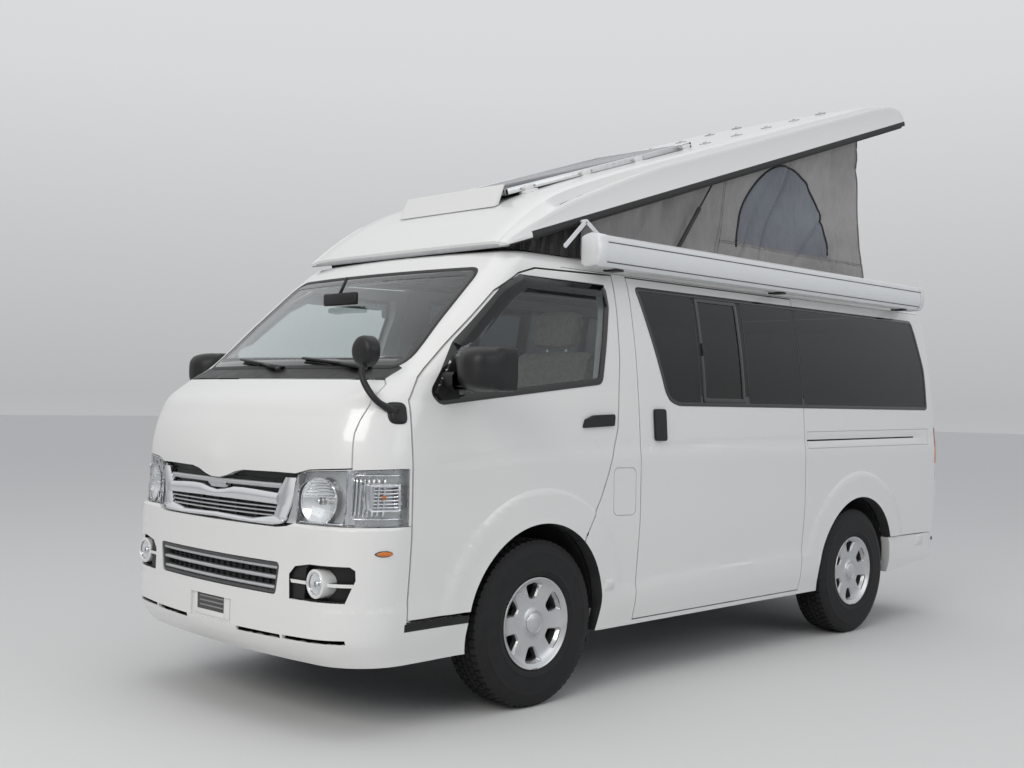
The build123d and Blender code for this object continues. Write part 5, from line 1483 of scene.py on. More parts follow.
def awning_span(name, y0, y1, grow, front=1.0, rear=1.0):
    """Returns a length of the awning's section, rounded in towards an end whose size is below 1."""
    cx, cz = AWNING_CENTRE
    levels = [(y0, front), (y1, rear)]
    if front < 1:
        levels += [(y0 + 0.006, front + (1 - front) * 0.7), (y0 + 0.016, 1.0)]
    if rear < 1:
        levels += [(y1 - 0.006, rear + (1 - rear) * 0.7), (y1 - 0.016, 1.0)]
    rings = []
    for y, size in sorted(levels):
        shares = [size * (1 + grow / math.hypot(x - cx, z - cz)) for x, z in AWNING_OUTLINE]
        rings.append([(cx + (x - cx) * s, y, cz + (z - cz) * s) for (x, z), s in zip(AWNING_OUTLINE, shares)])
    return lofted(name, rings, 34)


case_front, case_rear = AWNING_FRONT + AWNING_CAP, AWNING_REAR - AWNING_CAP
white = [
    awning_span("case", case_front, case_rear, -0.0015),
    awning_span("front_cap", AWNING_FRONT, case_front - 0.002, 0.0012, front=0.8),
    awning_span("rear_cap", case_rear + 0.002, AWNING_REAR, 0.0012, rear=0.8),
]
shadows = [disc("crank_eye", (0.8, AWNING_FRONT + 0.0002, 1.905), AHEAD, 0.011, 0.004, 0.001, 24)]
for x, z in ((0.8584, 1.9632), (0.8529, 1.8765)):
    shadows.append(tube("shadow_line", [(x, case_front, z), (x, case_rear, z)], 0.0022, 8))
for y in (case_front - 0.001, case_rear + 0.001):
    shadows.append(awning_span("joint", y - 0.0012, y + 0.0012, -0.003))
brackets = []
for y in (-0.82, 0.5, 1.82):
    brackets.append(bent_box("bracket", (0.752, y - 0.03, 1.8475), (0.822, y + 0.03, 1.8565), 0.002))
    brackets.append(bent_box("pad", (0.744, y - 0.022, 1.85), (0.76, y + 0.022, 1.868), 0.002))
awning = painted(AWNING_PAINT, *white) + painted(DARK_GREY, *shadows) + painted(BLACK_PLASTIC, *brackets)
finished(joined("awning_form", awning), None, ROOT, "awning_case")


# Door mirrors
def mirror_housing(name, sign):
    """Returns a rounded mirror housing with a stepped rim towards its glass."""
    low, high = Vector((0.869, -1.8825, 1.2975)), Vector((1.0615, -1.6905, 1.469))
    centre, half = (low + high) / 2, (high - low) / 2
    bm = bmesh.new()
    bmesh.ops.create_cube(bm, size=2.0)
    bmesh.ops.subdivide_edges(bm, edges=bm.edges[:], cuts=11, use_grid_fill=True)
    for vert in bm.verts:
        x, y, z = vert.co
        power = 9.0 if y > 0 else 3.6
        length = (abs(x) ** power + abs(z) ** power) ** (1 / power) if (abs(x) + abs(z)) else 1.0
        reach = max(abs(x), abs(z))
        share = reach / length if length else 1.0
        x, z = x * share, z * share
        bulge = 1.0 - 0.3 * (reach**4) if y < 0 else 1.0
        narrow = 1.0 - 0.16 * max(0.0, -y) ** 2
        place = Vector((x * half.x * narrow, y * half.y * bulge, z * half.z * narrow)) + centre
        vert.co = (place.x * sign, place.y + 0.02 * max(0.0, -x) * max(0.0, -y), place.z)
    bmesh.ops.recalc_face_normals(bm, faces=bm.faces)
    return from_bmesh(name, bm, 50)


for sign, side, door in SIDES:
    skin = bpy.data.objects[door + "_skin"]
    bm = bmesh.new()
    bm.from_mesh(skin.data)
    centres = [(face, face.calc_center_median()) for face in bm.faces]
    packed_head = [face for face, c in centres if abs(c.x) > 0.8672 and c.z > 1.295 and c.y < -1.68]
    bmesh.ops.delete(bm, geom=packed_head, context="FACES")
    bmesh.ops.delete(bm, geom=[v for v in bm.verts if not v.link_faces], context="VERTS")
    bm.to_mesh(skin.data)
    bm.free()
    finished(mirror_housing("mirror_housing_" + side, sign), BLACK_PLASTIC, door)

# Fender mirror
STALK_ROUTE = [
    (0.8, -2.066, 1.212), (0.789, -2.1, 1.228), (0.772, -2.14, 1.256), (0.742, -2.16, 1.3),
    (0.718, -2.166, 1.345), (0.704, -2.154, 1.392), (0.7, -2.146, 1.424),
]
# closed outline of the mirror's head as (along, radius)
HEAD_OUTLINE = [
    (0.0, 0.0005), (0.0, 0.02), (0.0012, 0.036), (0.005, 0.047), (0.012, 0.0545), (0.023, 0.058),
    (0.045, 0.0582), (0.058, 0.0578), (0.06, 0.056), (0.0596, 0.05), (0.058, 0.048), (0.057, 0.0005),
]
stalk_line = dense(STALK_ROUTE, 0.01)
stalk_radii = [0.019 - 0.0065 * min(1.0, i / 6) for i in range(len(stalk_line))]
base_outline = rounded(box_outline(-2.101, -2.033, 1.169, 1.251), 0.026)
head = revolve("head", HEAD_OUTLINE, 56)
for vert in head.data.vertices:
    along_head, y, z = vert.co
    vert.co = Vector((0.7 + y, -2.172 + along_head, 1.44 + z))
fender_mirror = joined("fender_mirror_form", [
    tube("stalk", stalk_line, stalk_radii, 16), smooth_by_angle(outward(head), 40),
    plate_on_skin("pad", "left", base_outline, -0.002, 0.0055, 0.003),
    plate_on_skin("pad", "left", inset(base_outline, 0.008), 0.002, 0.0115, 0.003),
    tube("collar", [(0.7005, -2.147, 1.376), (0.7, -2.144, 1.392)], 0.0165, 16),
])
finished(fender_mirror, BLACK_PLASTIC, ROOT, "fender_mirror")

# Tail lamps
TAIL_AMBER_Z, TAIL_RED_Z = 0.93, 1.035


def lamp_zone(c, n, off, facing):
    lens = np.where(c[:, 2] > TAIL_RED_Z, 0, np.where(c[:, 2] > TAIL_AMBER_Z, 1, 2))
    return np.where(off < -0.006, 3, lens)


tail_materials = [RED_LENS, AMBER_LENS, FROSTED, BLACK_PLASTIC]
skin_panel("tail_lamps", "tail_lamp_form", ROOT, tail_materials, (0.02, 0.02, 0.02), lamp_zone,
           [(2, TAIL_RED_Z), (2, TAIL_AMBER_Z)])
beads = []
for sign, _, _ in SIDES:
    for z in (TAIL_AMBER_Z, TAIL_RED_Z):
        line = skin_line("tail", (sign * 0.712, z), (sign * 0.8, z), 8, 0.0002)
        beads.append(tube("bead", line, 0.0022, 6))
finished(joined("tail_lamp_beads", beads), CHROME)

# Tailgate fittings
arm_route = skin_map("tail", [(0.02, 1.205), (0.16, 1.262), (0.42, 1.275)], 0.024)
pivot, elbow, tip = (Vector(p) for p in arm_route)
hub, hub_normal = skin_frame("tail", 0.02, 1.205, 0.004)
rear_wiper = joined("rear_wiper", [
    tube("arm", [pivot, elbow, elbow.lerp(tip, 0.35)], [0.011, 0.008, 0.005], 10),
    tube("blade", skin_line("tail", (0.1, 1.262), (0.5, 1.276), 8, 0.015), 0.0052, 8),
    disc("cap", hub + hub_normal * 0.026, hub_normal, 0.017, 0.03, 0.004, 24),
])
finished(rear_wiper, BLACK_PLASTIC, "tailgate")
garnish = rounded(box_outline(-0.25, 0.25, 0.836, 0.868), 0.01)
finished(plate_on_skin("tailgate_garnish", "tail", garnish, -0.002, 0.008, 0.003), PAINT, "tailgate")
stop_lamp = rounded(box_outline(-0.14, 0.14, 1.806, 1.826), 0.006)
finished(plate_on_skin("high_stop_lamp", "tail", stop_lamp, -0.002, 0.007, 0.003), RED_LENS, "tailgate")

# Black strip under each cab door
strip = rounded(box_outline(-2.028, -1.704, 0.3925, 0.4225), 0.003)
for _, view, _ in SIDES:
    finished(plate_on_skin(view + "_sill_strip", view, strip, -0.006, 0.0012, 0.001), BLACK_PLASTIC)


# Tent canvas
CANVAS_HALF, CANVAS_FRONT, CANVAS_REAR, CANVAS_LEAN = 0.629, -1.177, 1.687, 0.11
CANVAS_HEAD = CANVAS_REAR - CANVAS_LEAN
CANVAS_LOW, CANVAS_RISE, HEM_HEIGHT = 1.9095, 0.05, 2.122
SLOPE = math.tan(LID_ANGLE)
ZIP_POINTS = [
    (0.372, 2.125), (0.387, 2.226), (0.448, 2.35), (0.576, 2.491), (0.69, 2.556), (0.779, 2.581), (0.88, 2.576),
    (0.984, 2.544), (1.07, 2.49), (1.146, 2.425), (1.205, 2.35), (1.238, 2.275), (1.262, 2.205), (1.275, 2.14),
]
ZIP_Y, ZIP_Z = np.array(ZIP_POINTS).T
CANVAS_ROWS, HEM_ROW = 54, 12
HEM_SHARE = HEM_ROW / (CANVAS_ROWS - 1)


def canvas_top(y):
    """Returns the height of the canvas's upper edge, inside the raised lid."""
    return LID_HINGE.z + (y - LID_HINGE.y) * SLOPE + CANVAS_RISE


def ridge(value, width):
    """Returns a soft fold that is 1 at zero and fades over width."""
    return np.exp(-((value / width) ** 2))


def flank_relief(y, z, seed):
    """Returns how far the side cloth stands off its flat wedge, outwards."""
    top = canvas_top(np.minimum(y, CANVAS_HEAD))
    rise = np.clip((z - CANVAS_LOW) / np.maximum(top - CANVAS_LOW, 1e-3), 0, 1)
    along = np.clip((y - CANVAS_FRONT) / (CANVAS_REAR - CANVAS_FRONT), 0, 1)
    free = np.clip(rise / 0.1, 0, 1) * np.clip((1 - rise) / 0.08, 0, 1)
    hang = -0.02 * np.sin(np.pi * rise) * np.sin(np.pi * along) ** 0.5
    folds = np.zeros_like(y)
    draws = random.Random(seed)
    # long soft folds that fan out from the strut's upper end and run down to the rear
    for k in range(26):
        start = draws.uniform(-1.0, 1.55)
        lean = draws.uniform(0.35, 1.05) if start > 0.2 else draws.uniform(-0.25, 0.35)
        width = draws.uniform(0.012, 0.045)
        line = y - (start + lean * (z - 2.0) + 0.02 * np.sin(9 * z + k))
        reach = draws.uniform(0.25, 0.9)
        fade = ridge(rise - draws.uniform(0.25, 0.85), reach)
        folds += draws.uniform(-0.027, 0.011) * ridge(line, width) * fade
    # fine crumples near the rear corner
    near_rear = np.clip((y - 1.05) / 0.35, 0, 1)
    for k in range(22):
        lean = draws.uniform(0.2, 0.9)
        start = draws.uniform(0.9, 1.7)
        line = y - (start - lean * (z - 2.5) * 0.6 + 0.012 * np.sin(23 * z + 2 * k))
        folds += draws.uniform(-0.02, 0.009) * ridge(line, draws.uniform(0.011, 0.026)) * near_rear
    # shallow bellying between the sewn lines
    belly = 0.008 * np.sin(7.0 * y + 2.3 * np.sin(3.1 * z)) * np.sin(5.2 * z + 1.5 * np.sin(2.2 * y))
    gather = 0.0045 * np.sin(52 * y + 3 * np.sin(5 * y)) * np.clip(1 - rise / 0.28, 0, 1)
    gather = gather * np.clip(rise / 0.03, 0, 1)
    seam = -0.002 * ridge(y - (0.238 + 0.1 * (z - 2.2)), 0.006)
    seam = seam - 0.0018 * ridge(z - HEM_HEIGHT, 0.005) * (y > 0.24)
    corner = np.clip((CANVAS_REAR - 0.04 - y) / 0.16, 0.22, 1)
    return hang + (folds * corner + belly) * free + gather + seam


def rear_relief(x, z):
    """Returns how far the rear cloth stands off its flat panel, to the rear."""
    rise = np.clip((z - CANVAS_LOW) / (canvas_top(CANVAS_HEAD) - CANVAS_LOW), 0, 1)
    free = np.clip(rise / 0.08, 0, 1) * np.clip((1 - rise) / 0.06, 0, 1)
    side = np.clip(1 - np.abs(x) / CANVAS_HALF, 0, 1)
    hollow = -0.034 * np.sin(np.pi * rise) * np.sqrt(np.clip(side * 3, 0, 1)) * 0.7
    folds = np.zeros_like(x)
    draws = random.Random(11)
    for k in range(18):
        line = x - (draws.uniform(-0.6, 0.6) + draws.uniform(-0.3, 0.3) * (z - 2.4) + 0.015 * np.sin(8 * z + k))
        folds += draws.uniform(-0.02, 0.01) * ridge(line, draws.uniform(0.014, 0.04))
    return hollow + folds * free


def flank_point(sign, y, z):
    """Returns points of the side cloth at y and z."""
    out = flank_relief(y, z, 5 if sign > 0 else 9)
    return np.stack([sign * (CANVAS_HALF + np.minimum(out, 0.0095)), y, z], axis=1)


def canvas_column(panel, s, shares):
    """Returns one column of the canvas from its lower edge up, at a place from 0 to 1 along its panel."""
    if panel in (1, -1):
        foot_y = CANVAS_FRONT + (CANVAS_REAR - CANVAS_FRONT) * s
        head_y = CANVAS_FRONT + (CANVAS_HEAD - CANVAS_FRONT) * s
        height = canvas_top(head_y) - CANVAS_LOW
        hem = min(0.6, (HEM_HEIGHT - CANVAS_LOW) / height)
        above = hem + (shares - HEM_SHARE) / (1 - HEM_SHARE) * (1 - hem)
        shares = np.where(shares < HEM_SHARE, shares / HEM_SHARE * hem, above)
        y = foot_y + (head_y - foot_y) * shares - 0.03 * s**6 * np.sin(np.pi * shares)
        return flank_point(panel, y, CANVAS_LOW + height * shares)
    if panel == "rear":
        x = CANVAS_HALF * (1 - 2 * s) + np.zeros_like(shares)
        z = CANVAS_LOW + (canvas_top(CANVAS_HEAD) - CANVAS_LOW) * shares
        y = CANVAS_REAR - CANVAS_LEAN * shares - 0.03 * np.sin(np.pi * shares)
        fade = math.sin(math.pi * s) ** 0.25
        return np.stack([x * (1 - 0.006 * np.sin(np.pi * shares)), y + rear_relief(x, z) * fade, z], axis=1)
    x = -CANVAS_HALF * (1 - 2 * s) + np.zeros_like(shares)
    z = CANVAS_LOW + (canvas_top(CANVAS_FRONT) - CANVAS_LOW) * shares
    y = CANVAS_FRONT + 0.01 * np.sin(np.pi * shares) * (1 + np.sin(90 * s))
    return np.stack([x, y, z], axis=1)


def build_canvas():
    """Returns the tent canvas as one thin closed sheet round the raised space, with its two panes."""
    columns = [(1, s) for s in np.linspace(0, 1, 168)] + [("rear", s) for s in np.linspace(0, 1, 76)[1:-1]]
    columns += [(-1, s) for s in np.linspace(1, 0, 168)] + [("front", s) for s in np.linspace(0, 1, 50)[1:-1]]
    shares = np.linspace(0, 1, CANVAS_ROWS)
    points = np.concatenate([canvas_column(panel, s, shares) for panel, s in columns])
    piece = mesh_object("tent_cloth", points, skin_faces(len(columns), CANVAS_ROWS, False, loop=True))
    for material in (CANVAS, CANVAS_PANE):
        piece.data.materials.append(material)
    outwards = 0.0
    for face in piece.data.polygons:
        x, y, z = face.center
        on_side = abs(x) > CANVAS_HALF - 0.04 and ZIP_Y[0] < y < ZIP_Y[-1]
        face.material_index = 1 if on_side and HEM_HEIGHT < z < np.interp(y, ZIP_Y, ZIP_Z) else 0
        outwards += face.normal.x * math.copysign(1, x) if abs(x) > 0.6 else 0
    if outwards < 0:
        piece.data.flip_normals()
    walled(piece, 0.0012)
    piece.data.shade_smooth()
    return finished(piece, None, ROOT, "tent_canvas")


def on_canvas(sign, points, lift):
    """Returns points of the side cloth, lifted off it a little."""
    found = flank_point(sign, *np.array(points, float).T)
    return found + np.array([sign * lift, 0, 0])


def path_object(name, lines):
    """Returns an object of bare edges along lines of points."""
    vertices, edges = [], []
    for line in lines:
        first = len(vertices)
        vertices += list(line)
        edges += [(k, k + 1) for k in range(first, len(vertices) - 1)]
    return mesh_object(name, vertices, [], edges)


canvas_piece = build_canvas()
trims, seams, stitch_lines = [], [], []
for sign, _, _ in SIDES:
    wavy = [(y + 0.006 * math.sin(38 * z), z + 0.003 * math.sin(29 * y)) if y > 1.0 else (y, z)
            for y, z in dense(ZIP_POINTS, 0.018)]
    trims.append(tube("zip", on_canvas(sign, wavy, 0.0022), 0.0058, 8))
    pull_y, pull_z = ZIP_POINTS[0]
    pull = on_canvas(sign, [(pull_y, pull_z), (pull_y - 0.004, pull_z - 0.03)], 0.004)
    trims.append(tube("pull", pull, 0.004, 6))
    for shift in (-0.008, 0.008):
        upright = [(0.238 + 0.1 * (z - 2.2) + shift, z) for z in np.linspace(1.95, 2.47, 30)]
        stitch_lines.append(on_canvas(sign, upright, 0.0006))
    for drop in (0.004, 0.014):
        level = [(y, HEM_HEIGHT - drop) for y in np.linspace(0.24, 1.66, 70)]
        stitch_lines.append(on_canvas(sign, level, 0.0006))
    rear_edge = canvas_column(sign, 1.0, np.linspace(0.01, 0.95, 40)) + np.array([sign * 0.002, 0.002, 0])
    seams.append(tube("corner", rear_edge, 0.0032, 6))
    low_edge = [(y, CANVAS_LOW + 0.012) for y in np.linspace(CANVAS_FRONT + 0.02, CANVAS_REAR - 0.01, 60)]
    seams.append(tube("low_hem", on_canvas(sign, low_edge, 0.001), 0.0045, 6))
zips = finished(joined("canvas_zips", trims), RUBBER)
threads = path_object("threads", stitch_lines)
seams.append(grown(threads, STITCH_TREE, CANVAS_EDGE, Spacing=0.009, Stitch=(0.0062, 0.0022, 0.0022)))
stitches = finished(joined("canvas_seams", seams), CANVAS_EDGE)

side_area = 0.5 * (canvas_top(CANVAS_FRONT) + canvas_top(CANVAS_HEAD) - 2 * CANVAS_LOW)
side_area *= CANVAS_REAR - CANVAS_FRONT - 0.5 * CANVAS_LEAN

# Pleated bellows under the lid's front edge
BELLOWS_ROUTE = [(0.02, -1.35, 0), (0.56, -1.33, 0), (0.65, -1.27, 0), (0.656, -1.17, 0), (0.656, -0.9, 0)]
BELLOWS_FOOT, BELLOWS_ROWS = 1.9105, 7


def bellows():
    """Returns a pleated black strip from the middle of the front round to the left side."""
    line = dense(BELLOWS_ROUTE, 0.009)
    vertices = []
    for i, point in enumerate(line):
        run = line[min(i + 1, len(line) - 1)] - line[max(i - 1, 0)]
        run = run / np.linalg.norm(run)
        across = np.array([run[1], -run[0], 0])
        spot = point + across * (0.0045 if i % 2 else -0.0045)
        head = LID_HINGE.z + (spot[1] - LID_HINGE.y) * SLOPE + 0.004
        for share in np.linspace(0, 1, BELLOWS_ROWS):
            x = spot[0] + across[0] * 0.003 * math.sin(2.2 * i + 3 * share)
            y = spot[1] + across[1] * 0.004 * math.sin(math.pi * share)
            vertices.append((x, y, BELLOWS_FOOT + (head - BELLOWS_FOOT) * share))
    piece = mesh_object("bellows", vertices, skin_faces(len(line), BELLOWS_ROWS, False))
    return smooth_by_angle(outward(walled(piece, 0.0012, 0)), 60)


left_bellows = bellows()
bellows_piece = finished(joined("front_bellows", [left_bellows, mirror_copy(left_bellows)]), BELLOWS_CLOTH)
for soft in (canvas_piece, zips, stitches, bellows_piece):
    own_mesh(soft)


# Seats
CUSHION = [(-1.424, 0.806), (-0.906, 0.806), (-0.906, 0.918), (-1.18, 0.922), (-1.392, 0.956), (-1.428, 0.9)]
BACKREST = [(-0.978, 0.905), (-0.868, 0.888), (-0.708, 1.452), (-0.728, 1.492), (-0.794, 1.492)]
HEADREST = [(-0.806, 1.528), (-0.728, 1.52), (-0.702, 1.668), (-0.77, 1.686)]


def seat_pad(name, outline, x0, x1, crown, radius=0.03, channels=(), side=0.02):
    """Returns a crowned pad from a side outline of (y, z) between two x, with sewn channels across."""
    line = rounded(outline, radius, step=0.022, arc=6)
    cy, cz = np.mean(line, axis=0)
    rings = []
    for share in np.linspace(0, 1, 25):
        edge = abs(2 * share - 1)
        pull = side * max(0.0, (edge - 0.8) / 0.2) ** 2
        groove = sum(0.0065 * math.exp(-(((share - c) / 0.022) ** 2)) for c in channels)
        swell = crown * (1 - edge**2.4) - pull - groove
        grown_points = []
        for y, z in line:
            grow = 1 + swell / max(math.hypot(y - cy, z - cz), 1e-4)
            grown_points.append((x0 + (x1 - x0) * share, cy + (y - cy) * grow, cz + (z - cz) * grow))
        rings.append(grown_points)
    return lofted(name, rings, 60)


seat_parts, pads = [], []
for sign in (1, -1):
    middle = sign * 0.39
    pads.append(seat_pad("cushion", CUSHION, middle - 0.244, middle + 0.244, 0.005, 0.028, (0.24, 0.5, 0.76)))
    pads.append(seat_pad("backrest", BACKREST, middle - 0.234, middle + 0.234, 0.004, 0.028, (0.24, 0.76)))
    pads.append(seat_pad("headrest", HEADREST, middle - 0.125, middle + 0.125, 0.006))
    for x in (middle - 0.06, middle + 0.06):
        seat_parts += painted(CHROME, tube("post", [(x, -0.764, 1.47), (x, -0.752, 1.54)], 0.0065, 12))
    x0, x1 = sorted((sign * 0.309, sign * 0.414))
    seat_parts += painted(DASH_GREY, bent_box("pedestal", (x0, -1.365, 0.602), (x1, -0.955, 0.806), 0.006))
    for x in (middle - 0.25, middle + 0.236):
        trim = bent_box("side_trim", (x, -1.33, 0.812), (x + 0.014, -0.96, 0.866), 0.005)
        seat_parts += painted(DASH_GREY, trim)
cushions = finished(joined("seat_pads", pads), SEAT_FABRIC, ROOT, "front_seats")
finished(joined("seat_hardware", seat_parts), None)

# Dashboard and steering wheel
DASH_OUTLINE = [
    (-2.008, 0.964), (-1.764, 0.964), (-1.704, 1.118), (-1.716, 1.15), (-1.762, 1.196), (-1.85, 1.212),
    (-1.988, 1.236),
]
dash_line = rounded(DASH_OUTLINE, 0.022, step=0.05)
dash_rings = []
for x in np.linspace(-0.728, 0.728, 49):
    brow = 0.01 * math.exp(-(((x + 0.4) / 0.16) ** 4)) - 0.004
    dash_rings.append([(x, y, z + (brow if z > 1.15 else 0.0)) for y, z in dash_line])
dash_parts = painted(DASH_GREY, lofted("dash_body", dash_rings, 40))
for x0, x1, z0, z1, material in (
    (-0.52, -0.28, 1.118, 1.172, GLOSS_BLACK), (-0.14, 0.14, 1.06, 1.13, BLACK_PLASTIC),
    (-0.14, 0.14, 1.0, 1.05, TRIM_GREY), (0.26, 0.66, 1.0, 1.09, DASH_GREY),
):
    y = -1.722 if z0 > 1.11 else -1.764 + (z0 - 0.964) * 0.39 + 0.004
    dash_parts += painted(material, bent_box("panel", (x0, y - 0.02, z0), (x1, y + 0.014, z1), 0.006))
for x in (-0.64, -0.2, 0.2, 0.64):
    vent = bent_box("vent", (x - 0.045, -1.738, 1.126), (x + 0.045, -1.708, 1.16), 0.006)
    dash_parts += painted(BLACK_PLASTIC, vent)
finished(joined("dash_form", dash_parts), None, ROOT, "dashboard")

COLUMN_LOW, COLUMN_HIGH = Vector((-0.4, -1.78, 1.06)), Vector((-0.4, -1.64, 1.16))
column = (COLUMN_HIGH - COLUMN_LOW).normalized()
wheel_turn = turned_to(column)


def on_wheel(x, y, up=0.0):
    """Returns a place on the steering wheel, from its centre."""
    return COLUMN_HIGH + wheel_turn @ Vector((x, y, up))


hub_rings = []
for radius, height in ((0.02, -0.02), (0.066, -0.012), (0.072, 0.004), (0.064, 0.014), (0.03, 0.019)):
    wide, tall = radius * 1.05, radius * 0.9
    hub_rings.append([on_wheel(wide * math.cos(a), tall * math.sin(a), height) for a in turns(40)])
steering = [
    tube("rim", circle(COLUMN_HIGH, wheel_turn, 0.185, 0.0, 64), 0.0138, 14, closed=True),
    tube("column", [COLUMN_LOW + column * 0.02, COLUMN_HIGH - column * 0.02], 0.0215, 20),
    lofted("hub", hub_rings, 50),
]
for a in (math.radians(90), math.radians(210), math.radians(330)):
    places = ((0.05, 0.0), (0.11, 0.003), (0.184, 0.0))
    line = [on_wheel(r * math.cos(a), r * math.sin(a), h) for r, h in places]
    steering.append(tube("spoke", line, [0.017, 0.012, 0.011], 12))
finished(joined("steering_form", steering), BLACK_PLASTIC, ROOT, "steering_wheel")

# Camper furniture
wood = [
    bent_box("box", (-0.559, 0.901, 0.602), (0.559, 2.139, 0.796), 0.003, 1),
    bent_box("box", (-0.719, 0.901, 0.796), (0.619, 2.139, 0.9), 0.003, 1),
    bent_box("cabinet", (-0.714, -0.349, 0.602), (-0.331, 0.779, 1.212), 0.003, 1),
]
furniture = painted(AWNING_PAINT, bent_box("top", (-0.7145, -0.3495, 1.212), (-0.3305, 0.7795, 1.2395), 0.006))
for y in (-0.33, -0.055, 0.22, 0.495):
    wood.append(bent_box("door", (-0.333, y, 0.64), (-0.3285, y + 0.262, 1.19), 0.0015, 1))
    ends = [(-0.327, y + 0.235, 0.9), (-0.327, y + 0.235, 0.98)]
    furniture += painted(CHROME, tube("pull", ends, 0.0035, 8))
finished(joined("furniture_form", painted(WOOD, *wood) + furniture), None, ROOT, "furniture")
bench = []
for x0, x1 in ((-0.716, -0.052), (-0.048, 0.616)):
    for y0, y1 in ((0.905, 1.512), (1.518, 2.136)):
        bench.append(seat_pad("bench_pad", box_outline(y0, y1, 0.902, 0.992), x0, x1, 0.003, 0.02, (), 0.012))
finished(joined("bench_pads", bench), SEAT_FABRIC, ROOT)

# Inside mirror
inner = painted(
    BLACK_PLASTIC, bent_box("glass_back", (-0.115, -1.745, 1.668), (0.115, -1.722, 1.722), 0.008, 3),
    tube("stalk", [(0, -1.738, 1.716), (0, -1.7, 1.792)], 0.007, 10),
)
inner += painted(MIRROR, bent_box("glass", (-0.108, -1.7225, 1.674), (0.108, -1.7205, 1.716), 0.0008, 1))
finished(joined("inside_mirror", inner), None)

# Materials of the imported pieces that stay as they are
NODE_MATERIALS = {
    "lid_gelcoat": GELCOAT, "lamp_lens": LENS, "tail_lens": RED_LENS, "chrome": CHROME,
    "black_plastic": BLACK_PLASTIC, "black_rubber": RUBBER, "seat_fabric": SEAT_FABRIC, "cabinet_wood": WOOD,
    "chassis_black": UNDERBODY, "cast_iron": CAST, "steel": STEEL, "awning_white": AWNING_PAINT,
    "solar_glass": GLOSS_BLACK, "canvas": SEAT_FABRIC, "wheel_silver": SILVER, "tyre_rubber": TYRE_RUBBER,
    "body_paint": PAINT,
}
NODE_OWN = {"strut_rods": GLOSS_BLACK, "engine_cover": DASH_GREY, "floor_pan": UNDERBODY}
for row in frame["record"]["subparts"]:
    packed = frame["nodes"][row["node"]]
    material = NODE_OWN.get(row["node"], NODE_MATERIALS.get(row["material_slot"]))
    if material is not None and not packed.hide_render:
        for place in packed.material_slots:
            place.material = material

# Camera, floor and light
CAMERA_PLACE = Vector((4.30771, -4.96821, 1.26394))
CAMERA_TURN, CAMERA_DIP, CAMERA_ROLL = 45.0, -0.79, 1.1
FOCAL_PIXELS, IMAGE_WIDTH, SENSOR = 1217.1, 1024, 36.0
FLOOR_CORNERS = [(-60, -60, 0), (60, -60, 0), (60, 60, 0), (-60, 60, 0)]
# height of the ray and the colour there, for what lights the van and for what the camera sees
LIGHT_STOPS = [
    (0.0, (0.2, 0.21, 0.23)), (0.1, (0.34, 0.36, 0.4)), (0.35, (0.66, 0.69, 0.74)), (1.0, (0.95, 0.97, 1.0)),
]
BACKDROP_STOPS = [
    (0.0, (0.47, 0.475, 0.48)), (0.06, (0.52, 0.525, 0.53)),
    (0.25, (0.68, 0.69, 0.7)), (0.6, (0.8, 0.81, 0.82)),
]


def add_camera():
    """Places the camera as fitted to the photograph."""
    turn, dip, roll = (math.radians(v) for v in (CAMERA_TURN, CAMERA_DIP, CAMERA_ROLL))
    forward = Vector((-math.sin(turn) * math.cos(dip), math.cos(turn) * math.cos(dip), -math.sin(dip)))
    level = forward.cross(Vector((0, 0, 1))).normalized()
    rise = level.cross(forward)
    right = level * math.cos(roll) + rise * math.sin(roll)
    up = rise * math.cos(roll) - level * math.sin(roll)
    data = bpy.data.cameras.new("camera")
    data.sensor_width = SENSOR
    data.lens = FOCAL_PIXELS / IMAGE_WIDTH * SENSOR
    data.clip_end = 200
    camera = placed("camera", data)
    rotation = Matrix((right, up, -forward)).transposed()
    camera.matrix_world = Matrix.Translation(CAMERA_PLACE) @ rotation.to_4x4()
    bpy.context.scene.camera = camera


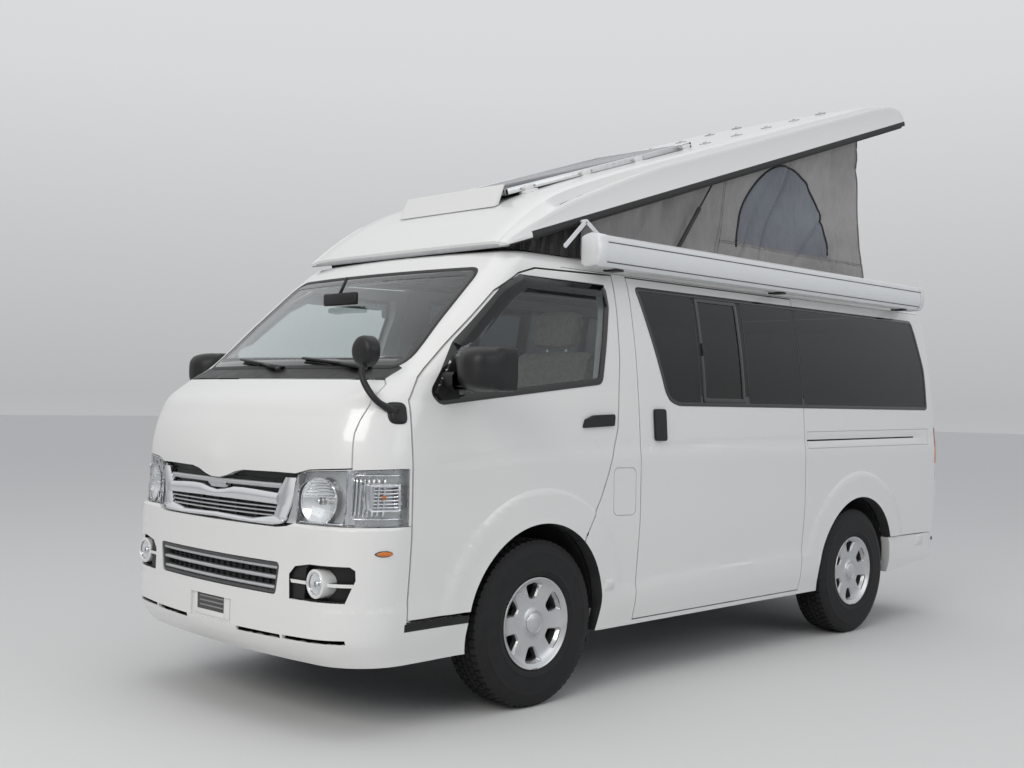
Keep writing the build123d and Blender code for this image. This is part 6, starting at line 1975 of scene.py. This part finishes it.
def area_light(name, place, target, size, energy, colour=(1, 1, 1)):
    """Adds one soft box that faces a target."""
    data = bpy.data.lights.new(name, "AREA")
    data.shape = "RECTANGLE"
    data.size, data.size_y = size
    data.energy, data.color = energy, colour
    light = placed(name, data)
    light.location = place
    light.rotation_euler = (Vector(target) - Vector(place)).to_track_quat("-Z", "Y").to_euler()


def higher(tree, one, other):
    """Returns the larger of two values."""
    return add_node(tree, "ShaderNodeMath", {0: one, 1: other}, operation="MAXIMUM").outputs[0]


def add_world():
    """Adds the soft world light, and a paler sky for what the camera sees directly or mirrored."""
    world = bpy.data.worlds.new("studio")
    bpy.context.scene.world = world
    world.use_nodes = True
    tree = world.node_tree
    incoming = add_node(tree, "ShaderNodeNewGeometry").outputs["Incoming"]
    parts = add_node(tree, "ShaderNodeSeparateXYZ", {"Vector": incoming})
    height = add_node(tree, "ShaderNodeMath", {0: parts.outputs["Z"]}, operation="ABSOLUTE").outputs["Value"]
    lit = feed(tree.nodes["Background"], {"Color": add_ramp(tree, height, LIGHT_STOPS), "Strength": 0.66})
    seen = add_node(tree, "ShaderNodeBackground", {"Color": add_ramp(tree, height, BACKDROP_STOPS)})
    path = add_node(tree, "ShaderNodeLightPath").outputs
    direct = higher(tree, path["Is Camera Ray"], path["Is Glossy Ray"])
    shown = higher(tree, direct, path["Is Transmission Ray"])
    sky = {"Fac": shown, 1: lit.outputs["Background"], 2: seen.outputs["Background"]}
    mix = add_node(tree, "ShaderNodeMixShader", sky)
    feed(tree.nodes["World Output"], {"Surface": mix.outputs["Shader"]})


floor_material, _, floor_shader = new_material("pale_floor")
feed(floor_shader, {"Base Color": (0.72, 0.72, 0.71, 1), "Roughness": 0.75})
floor = mesh_object("floor", FLOOR_CORNERS, [(0, 1, 2, 3)])
painted(floor_material, floor)
add_camera()
add_world()
area_light("key", (3.0, -9.5, 6.0), (0, -0.6, 1.0), (6, 4), 330, (1.0, 0.97, 0.92))
area_light("side", (9.0, 1.0, 4.5), (0.5, 0.2, 1.2), (7, 4), 95, (0.93, 0.96, 1.0))
area_light("top", (0.0, 0.0, 8.5), (0, 0, 0), (8, 8), 110)
bpy.context.scene.view_settings.view_transform = "Standard"
